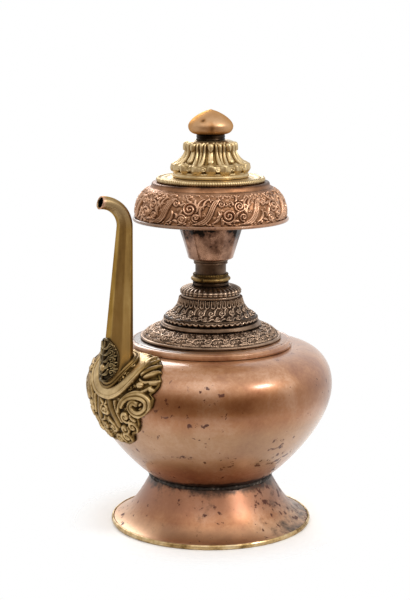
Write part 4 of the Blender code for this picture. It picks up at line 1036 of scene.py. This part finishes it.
def spout_ring(k, grow):
    """One ring of the spout at a station, grown by a distance. The last few slide along to the
    slant of the mouth."""
    turn = heading[k]
    along = np.array([-math.sin(turn), 0, math.cos(turn)])
    out = np.array([-math.cos(turn), 0, -math.sin(turn)])
    side = np.array([0, 1.0, 0])
    far = spout_radius[k] * (octagon + (1 - octagon) * spout_round[k]) + grow
    centre = np.array([-spout_line[k, 0], 0, spout_line[k, 1]])
    slid = slant * max(0, (k - last + cut_rings) / cut_rings)
    skew = spout_radius[k] * np.cos(angle) * math.tan(slid)
    ring = centre + (far * np.cos(angle))[:, None] * out + (far * np.sin(angle))[:, None] * side
    return ring + skew[:, None] * along


def within(grid):
    """A grid of points kept inside the box of the solids, on the side that the spout is on."""
    return np.concatenate([np.maximum(grid[..., :1], limit), grid[..., 1:]], -1)


rings = [spout_ring(k, 0) for k in range(last + 1)]
rings += [spout_ring(last, -0.0004) - np.array([0.0003, 0, 0]), spout_ring(last, -0.0008)]
rings += [spout_ring(k, -wall) for k in range(last - 1, bore_end, -1)]
lip_tone = [1.2, 1.4, 1.5, 1.5, 1.2]
crest_row = np.concatenate([np.ones(last - 2), lip_tone, np.zeros(last - 1 - bore_end)])
spout = skinned("spout_tube", within(np.array(rings)), True, False, crest_row[:, None])
fit(spout, sheet, "cast_brass", "ewer", "spout")

# Spout collar: two rolled brass lips round the root of the spout, bent to the body and
# soldered over the joint.

# Repousse brass, rubbed by hands: pale gold crests, brown in the deep ground.
gold = relief_metal("repousse_pale_brass", 0.009, [(0.10, "#2A1D0C"), (0.36, "#6A522B"),
                                                   (0.64, "#927649"), (0.92, "#CBB082")], 0.54, 0.43)

outline = np.vstack([belly, shoulder[1:]])
outline_run = run_along(outline)
outline_run -= outline_run[len(belly) - 1]
outline_way = np.gradient(outline, outline_run, axis=0)


def on_body(up, side, height):
    """Points over the body: up its outline from the belly, sideways from the spout's plane, and
    off its skin."""
    radius, level, way_out, way_up = (np.interp(up, outline_run, column)
                                      for column in (*outline.T, *outline_way.T))
    far = radius + height * way_up
    swing = side / radius
    return np.stack([-far * np.cos(swing), far * np.sin(swing), level - height * way_out], -1)


def collar_oval(spoke):
    """How far the edge of the spout collar is from its middle, at each angle round it."""
    return collar_long * collar_wide / np.hypot(collar_wide * np.cos(spoke), collar_long * np.sin(spoke))


collar_centre, collar_long, collar_wide = 0.0205, 0.0150, 0.0133
lip_sheet, lip_high = 0.0004, 0.0020
spoke = circle(200)
out = np.linspace(0.58, 1.0, 44)[:, None]
lips = np.maximum(half_round((out - 0.79) / 0.085), half_round((out - 0.94) / 0.070) * 0.85)
lip_height = lip_sheet + lip_high * lips
lip_height[-1] = 0.0001
reach = out * collar_oval(spoke)
lip_grid = within(on_body(collar_centre - reach * np.cos(spoke), reach * np.sin(spoke), lip_height))
lips_piece = skinned("spout_lips", lip_grid[:, ::-1], True, False, lips * 0.62)
fit(lips_piece, gold, "cast_brass", "ewer", "spout_collar")

# Escutcheon: a lobed brass plate raised in repousse and bent to the body round the spout,
# with a broad lip, an eye boss, a large C-scroll, a fan of leaves and small curls below.
edge = np.array([(0.0364, 0), (0.0366, 0.0120), (0.0345, 0.0200), (0.0305, 0.0258), (0.0262, 0.0312),
                 (0.0240, 0.0322), (0.0212, 0.0354), (0.0188, 0.0362), (0.0160, 0.0392), (0.0120, 0.0400),
                 (0.0090, 0.0384), (0.0072, 0.0366), (0.0054, 0.0390), (0.0005, 0.0382),
                 (-0.0042, 0.0338), (-0.0070, 0.0284), (-0.0105, 0.0282), (-0.0165, 0.0252),
                 (-0.0192, 0.0200), (-0.0250, 0.0176), (-0.0284, 0.0108), (-0.0280, 0.0066),
                 (-0.0290, 0.0030), (-0.0276, 0)])
edge_angle = np.arctan2(edge[:, 1], collar_centre - edge[:, 0])[::-1]
edge_far = np.hypot(edge[:, 1], collar_centre - edge[:, 0])[::-1]
spoke = circle(520)
far = np.interp(np.abs(turned_away(spoke, 0)), edge_angle, edge_far)
out = np.linspace(0, 1, 120)[:, None]
inner = collar_oval(spoke) * 0.97
reach = inner + (far - inner) * out
up, side = collar_centre - reach * np.cos(spoke), reach * np.sin(spoke)
apart = np.abs(side)
lip_stem = flowing([(0.0010, 0), (0.0014, 0.0070), (0.0054, 0.0150), (0.0120, 0.0210), (0.0196, 0.0232),
                    (0.0268, 0.0218)], 0.0006)
brow = flowing([(-0.0052, 0.0128), (0.0004, 0.0152), (0.0048, 0.0196), (0.0078, 0.0250), (0.0080, 0.0306),
                (0.0112, 0.0348)], 0.0006)
scroll = flowing([(-0.0020, 0.0160), (0.0026, 0.0186), (0.0052, 0.0240), (0.0060, 0.0304),
                  (0.0036, 0.0354), (-0.0012, 0.0352), (-0.0048, 0.0302), (-0.0046, 0.0252),
                  (-0.0010, 0.0222), (0.0022, 0.0248), (0.0012, 0.0278)], 0.0006)
stem = flowing([(0.0006, 0.0052), (-0.0040, 0.0062), (-0.0100, 0.0090), (-0.0145, 0.0098)], 0.0006)
groove = flowing([(0.0000, 0.0108), (-0.0050, 0.0116), (-0.0112, 0.0142)], 0.0006)
fade = np.sin(np.linspace(0.35, 2.6, len(scroll)))
off = leftward(scroll) * (0.0012 * fade)[:, None]
channel = flowing([(0.0030, 0), (0.0034, 0.0060), (0.0074, 0.0132), (0.0134, 0.0180), (0.0196, 0.0196),
                   (0.0258, 0.0180), (0.0314, 0.0134), (0.0338, 0.0060), (0.0340, 0)], 0.0006)
lip_channel = ridge(channel, 0.0033, 0.0016)
half = [lip_channel, ridge(lip_stem, 0.0013, 0.0022), ridge(brow, 0.0011, 0.0017),
        ridge(scroll + off, 0.0008 + 0.0007 * fade, 0.0017 + 0.0006 * fade),
        ridge(scroll - off, 0.0008 + 0.0006 * fade, 0.0016 + 0.0005 * fade),
        ridge(stem, 0.0024, 0.0014), ridge(groove, 0.0009, 0.0016)]
half += [leaflet(*leaf) for leaf in ((0.0118, 0.0266, 0.0118, 0.0290, 0, 0.0022, 0.0026),
                                     (0.0150, 0.0256, 0.0146, 0.0330, 0.18, 0.0010, 0.0018),
                                     (0.0180, 0.0250, 0.0252, 0.0310, -0.10, 0.0026, 0.0019),
                                     (0.0166, 0.0280, 0.0204, 0.0350, -0.10, 0.0025, 0.0019),
                                     (0.0140, 0.0330, 0.0150, 0.0386, 0.10, 0.0020, 0.0020),
                                     (0.0110, 0.0340, 0.0098, 0.0378, 0.10, 0.0016, 0.0018),
                                     (0.0220, 0.0240, 0.0304, 0.0244, -0.12, 0.0025, 0.0019),
                                     (0.0256, 0.0206, 0.0344, 0.0186, -0.12, 0.0024, 0.0018),
                                     (0.0290, 0.0150, 0.0358, 0.0120, -0.12, 0.0017, 0.0017),
                                     (0.0326, 0.0100, 0.0358, 0.0030, -0.12, 0.0016, 0.0016),
                                     (0.0006, 0.0296, 0.0020, 0.0310, 0, 0.0010, 0.0014),
                                     (-0.0014, 0.0296, -0.0010, 0.0318, 0, 0.0010, 0.0013),
                                     (-0.0030, 0.0010, -0.0004, 0.0030, 0.2, 0.0010, 0.0015),
                                     (-0.0110, 0.0020, -0.0140, 0.0060, 0.2, 0.0011, 0.0016),
                                     (-0.0060, 0.0226, -0.0090, 0.0256, 0.2, 0.0013, 0.0018),
                                     (-0.0205, 0.0096, -0.0262, 0.0110, 0.2, 0.0013, 0.0017))]
half += [volute(*curl) for curl in ((-0.0076, 0.0186, 0.0034, 1.3, 120, 1, 0.0013, 0.0021),
                                    (-0.0130, 0.0226, 0.0036, 1.3, 150, -1, 0.0013, 0.0022),
                                    (-0.0160, 0.0150, 0.0032, 1.3, 60, 1, 0.0012, 0.0019),
                                    (-0.0216, 0.0142, 0.0034, 1.3, 120, -1, 0.0013, 0.0021),
                                    (-0.0170, 0.0046, 0.0032, 1.3, 0, 1, 0.0012, 0.0019),
                                    (-0.0244, 0.0062, 0.0034, 1.3, 90, -1, 0.0012, 0.0020),
                                    (-0.0068, 0.0010, 0.0030, 1.2, 0, 1, 0.0012, 0.0019))]
plate_sheet, edge_roll = 0.0005, 0.0011
work = raised_work(up, apart, half)
for seed, size, height in ((51, 0.0014, 0.0011), (52, 0.0009, 0.0008)):
    work = crowded(up, apart, work, 1.0, seed, 700, size, height)
work = np.maximum(work, half_round((1 - out) * (far - inner) / edge_roll - 0.9) * edge_roll)
work *= 1 - 0.4 * ramp(side, 0.018, 0.014)
plate_height = plate_sheet + work
plate_height[-1] = 0.00005
plate_grid = within(on_body(up, side, plate_height))
# Painted light: the lip band is made paler where the spout shades it.
painted_lip_light = raised_work(up, apart, [lip_channel]) > 0
# Painted shade: the fan of leaves at the top of the plate is made darker to hold down the lamps'
# highlights on it.
painted_fan_shade = ramp(up, 0.0160, 0.006) * ramp(apart, 0.018, 0.006)
# The tone is the wear on the crests, plus painted shade in the grooves beside them and painted light on
# them.
plate_wear_and_shading = np.clip(0.22 + 0.45 * painted_lip_light - 0.40 * painted_fan_shade + work * 220 + painted_relief_shading(work, 14) * 1100, 0, 1)
plate = skinned("escutcheon_plate", plate_grid[:, ::-1], True, False, plate_wear_and_shading[:, ::-1])
fit(plate, gold, "cast_brass", "ewer", "spout_escutcheon")

# Leaf plaque: a dark plaque of foliage, pointed at both ends, wrapped on the front of the
# spout and held by a small brass boss at its foot.

# Blackened copper, waxed: near black between leaves whose crests are rubbed to an olive gold.
waxed = relief_metal("blackened_waxed_copper", 0.006,
                     [(0.10, "#17120B"), (0.42, "#4C3E28"), (0.85, "#B8A072")], 0.46, 0.28)

leaf_foot, leaf_tall, leaf_wide = -0.0004, 0.0256, math.radians(64) * root_radius
leaf_full, leaf_sheet, leaf_edge = 1.9, 0.0006, 0.0002
share = np.linspace(-1, 1, 130)
tall, wide = np.meshgrid(share, share, indexing="ij")
leaf_half = (1 - np.abs(tall) ** leaf_full) ** (1 / leaf_full)
leaf_up, leaf_side = tall * leaf_tall / 2, wide * leaf_half * leaf_wide
half = [leaflet(-0.0110, 0.0, 0.0116, 0.0, 0, 0.0012, 0.0014)]
for k, place in enumerate((-0.0084, -0.0046, -0.0008, 0.0030, 0.0066)):
    half += [leaflet(place, 0.0006, place + 0.0036, 0.0042, 0.2, 0.0012, 0.0016),
             volute(place + 0.0022, 0.0062 - 0.0004 * k, 0.0017, 1.2, 180, -1, 0.0007, 0.0016)]
    half += spray(place + 0.0004, 0.0074 - 0.0004 * k, 30, 150, 3, 0.0024, 0.0008, 0.0014)
work = raised_work(leaf_up, np.abs(leaf_side), half)
margin = np.minimum((1 - np.abs(tall)) * leaf_tall / 2,
                    (1 - np.abs(wide)) * leaf_half * leaf_wide) / 0.0009
work = np.maximum(work, 0.0010 * half_round(margin - 1))
leaf_height = np.full_like(work, leaf_edge)
leaf_height[1:-1, 1:-1] = leaf_sheet + work[1:-1, 1:-1]


def on_spout(up, side, height):
    """Points over the shaft of the spout: up from its root, round from its front, and off it."""
    share = up / (shaft_level - root_level)
    far = root_radius + (shaft_radius - root_radius) * share + height
    swing = side / root_radius
    reach = root_reach + (shaft_reach - root_reach) * share
    return np.stack([-reach - far * np.cos(swing), far * np.sin(swing), root_level + up], -1)


leaf_grid = within(on_spout(leaf_foot + leaf_tall / 2 + leaf_up, leaf_side, leaf_height))
# The tone is the wear on the crests, plus painted shade in the grooves beside them and painted light on
# them.
leaf_wear_and_shading = np.clip(0.20 + work * 150 + painted_relief_shading(work, 10) * 900, 0, 0.95)
plaque = skinned("leaf_plaque", leaf_grid[:, ::-1], False, False, leaf_wear_and_shading[:, ::-1])
fit(plaque, waxed, "blackened_copper", "ewer", "spout_leaf")
boss_rise, boss_radius, boss_foot, boss_high = 0.0078, 0.0021, 0.0014, 0.0012
spoke, out = np.meshgrid(circle(48), np.linspace(0.02, 1, 14))
dome = boss_foot + boss_high * half_round(out)
reach = boss_radius * out
boss_grid = on_spout(boss_rise + reach * np.cos(spoke), reach * np.sin(spoke), dome)
boss = skinned("leaf_boss_dome", within(boss_grid), True, False)
fit(boss, brass, "turned_brass", "ewer", "leaf_boss")

# Floor, light and camera: a white paper sweep in a studio, with soft lamps high in
# front and one behind, and a long lens a little above the collar.
paper, tree, shader, where = started("white_paper", {"Base Color": linear("#F4F3F1"),
                                                     "Roughness": 0.9,
                                                     "Specular IOR Level": 0.1})
away = add(tree, "VectorMath", {0: where}, operation="LENGTH")
fade = add(tree, "MapRange", {"Value": away, "From Min": 0.062, "From Max": 0.095},
           interpolation_type="SMOOTHSTEP")
clear = add(tree, "BsdfTransparent", {})
path = add(tree, "LightPath", {}, out="Is Camera Ray")
seen = add(tree, "Math", {0: fade, 1: path}, operation="MULTIPLY")
mixed = add(tree, "MixShader", {0: seen, 1: shader.outputs["BSDF"], 2: clear})
wired(tree, tree.nodes["Material Output"], {"Surface": mixed})
floor_level = -0.0002
spoke, out = np.meshgrid(circle(96), np.linspace(0.001, 0.22, 24))
floor_grid = np.stack([out * np.cos(spoke), out * np.sin(spoke), np.full(out.shape, floor_level)], -1)
floor = skinned("paper_floor", floor_grid[::-1], True, False)
floor.data.materials.append(paper)

world = bpy.data.worlds.new("white_studio")
bpy.context.scene.world = world
world.use_nodes = True
tree = world.node_tree
path = add(tree, "LightPath", {}, out="Is Camera Ray")
where = add(tree, "TexCoord", {}, out="Generated")
view = math.radians(-34)
towards = (math.sin(view), -math.cos(view), 0.15)
room = add(tree, "VectorMath", {0: where, 1: towards}, operation="DOT_PRODUCT")
ahead = add(tree, "MapRange", {"Value": room, "From Min": 0.1, "From Max": 0.85},
            interpolation_type="SMOOTHSTEP")
high = add(tree, "SeparateXYZ", {"Vector": where}, out="Z")
lowly = add(tree, "MapRange", {"Value": high, "From Min": 0.60, "From Max": 0.15},
            interpolation_type="SMOOTHSTEP")
unlit = add(tree, "Math", {0: ahead, 1: lowly}, operation="MULTIPLY")
shown = add(tree, "Mix", {"Factor": unlit, "A": (1, 1, 1, 1), "B": (0.34, 0.25, 0.17, 1)},
            data_type="RGBA")
white = add(tree, "Mix", {"Factor": path, "A": shown, "B": (1, 1, 1, 1)}, data_type="RGBA")
wired(tree, tree.nodes["Background"], {"Color": white})

lit_middle = np.array([0, 0, 0.12])
for name, place, size, power in (("lamp_right", (0.395, -0.908, 0.86), (0.26, 0.17), 5.4),
                                 ("lamp_front", (-0.385, -0.571, 1.08), (0.60, 0.60), 1.8),
                                 ("lamp_left", (-0.85, -0.27, 0.97), (0.50, 0.50), 0.85),
                                 ("lamp_back", (0.30, 1.00, 0.75), (0.70, 0.40), 6.0)):
    lamp = bpy.data.lights.new(name, "AREA")
    lamp.shape = "RECTANGLE"
    lamp.size, lamp.size_y = size
    lamp.energy = power
    holder = bpy.data.objects.new(name, lamp)
    bpy.context.scene.collection.objects.link(holder)
    holder.location = place
    aim = lit_middle - np.array(place)
    tilt, swing = math.acos(-aim[2] / np.linalg.norm(aim)), math.atan2(aim[1], aim[0]) - math.pi / 2
    holder.rotation_euler = (tilt, 0, swing)

lens = bpy.data.cameras.new("long_lens")
lens.sensor_fit = "AUTO"
lens.sensor_width = 36
lens.lens = 96
lens.shift_x = -0.0095
camera = bpy.data.objects.new("long_lens", lens)
bpy.context.scene.collection.objects.link(camera)
distance, eye_level, look_down = 0.944, 0.311, 10.5
camera.location = (distance * math.sin(view), -distance * math.cos(view), eye_level)
camera.rotation_euler = (math.radians(90 - look_down), 0, view)
bpy.context.scene.camera = camera
bpy.context.scene.view_settings.view_transform = "Standard"
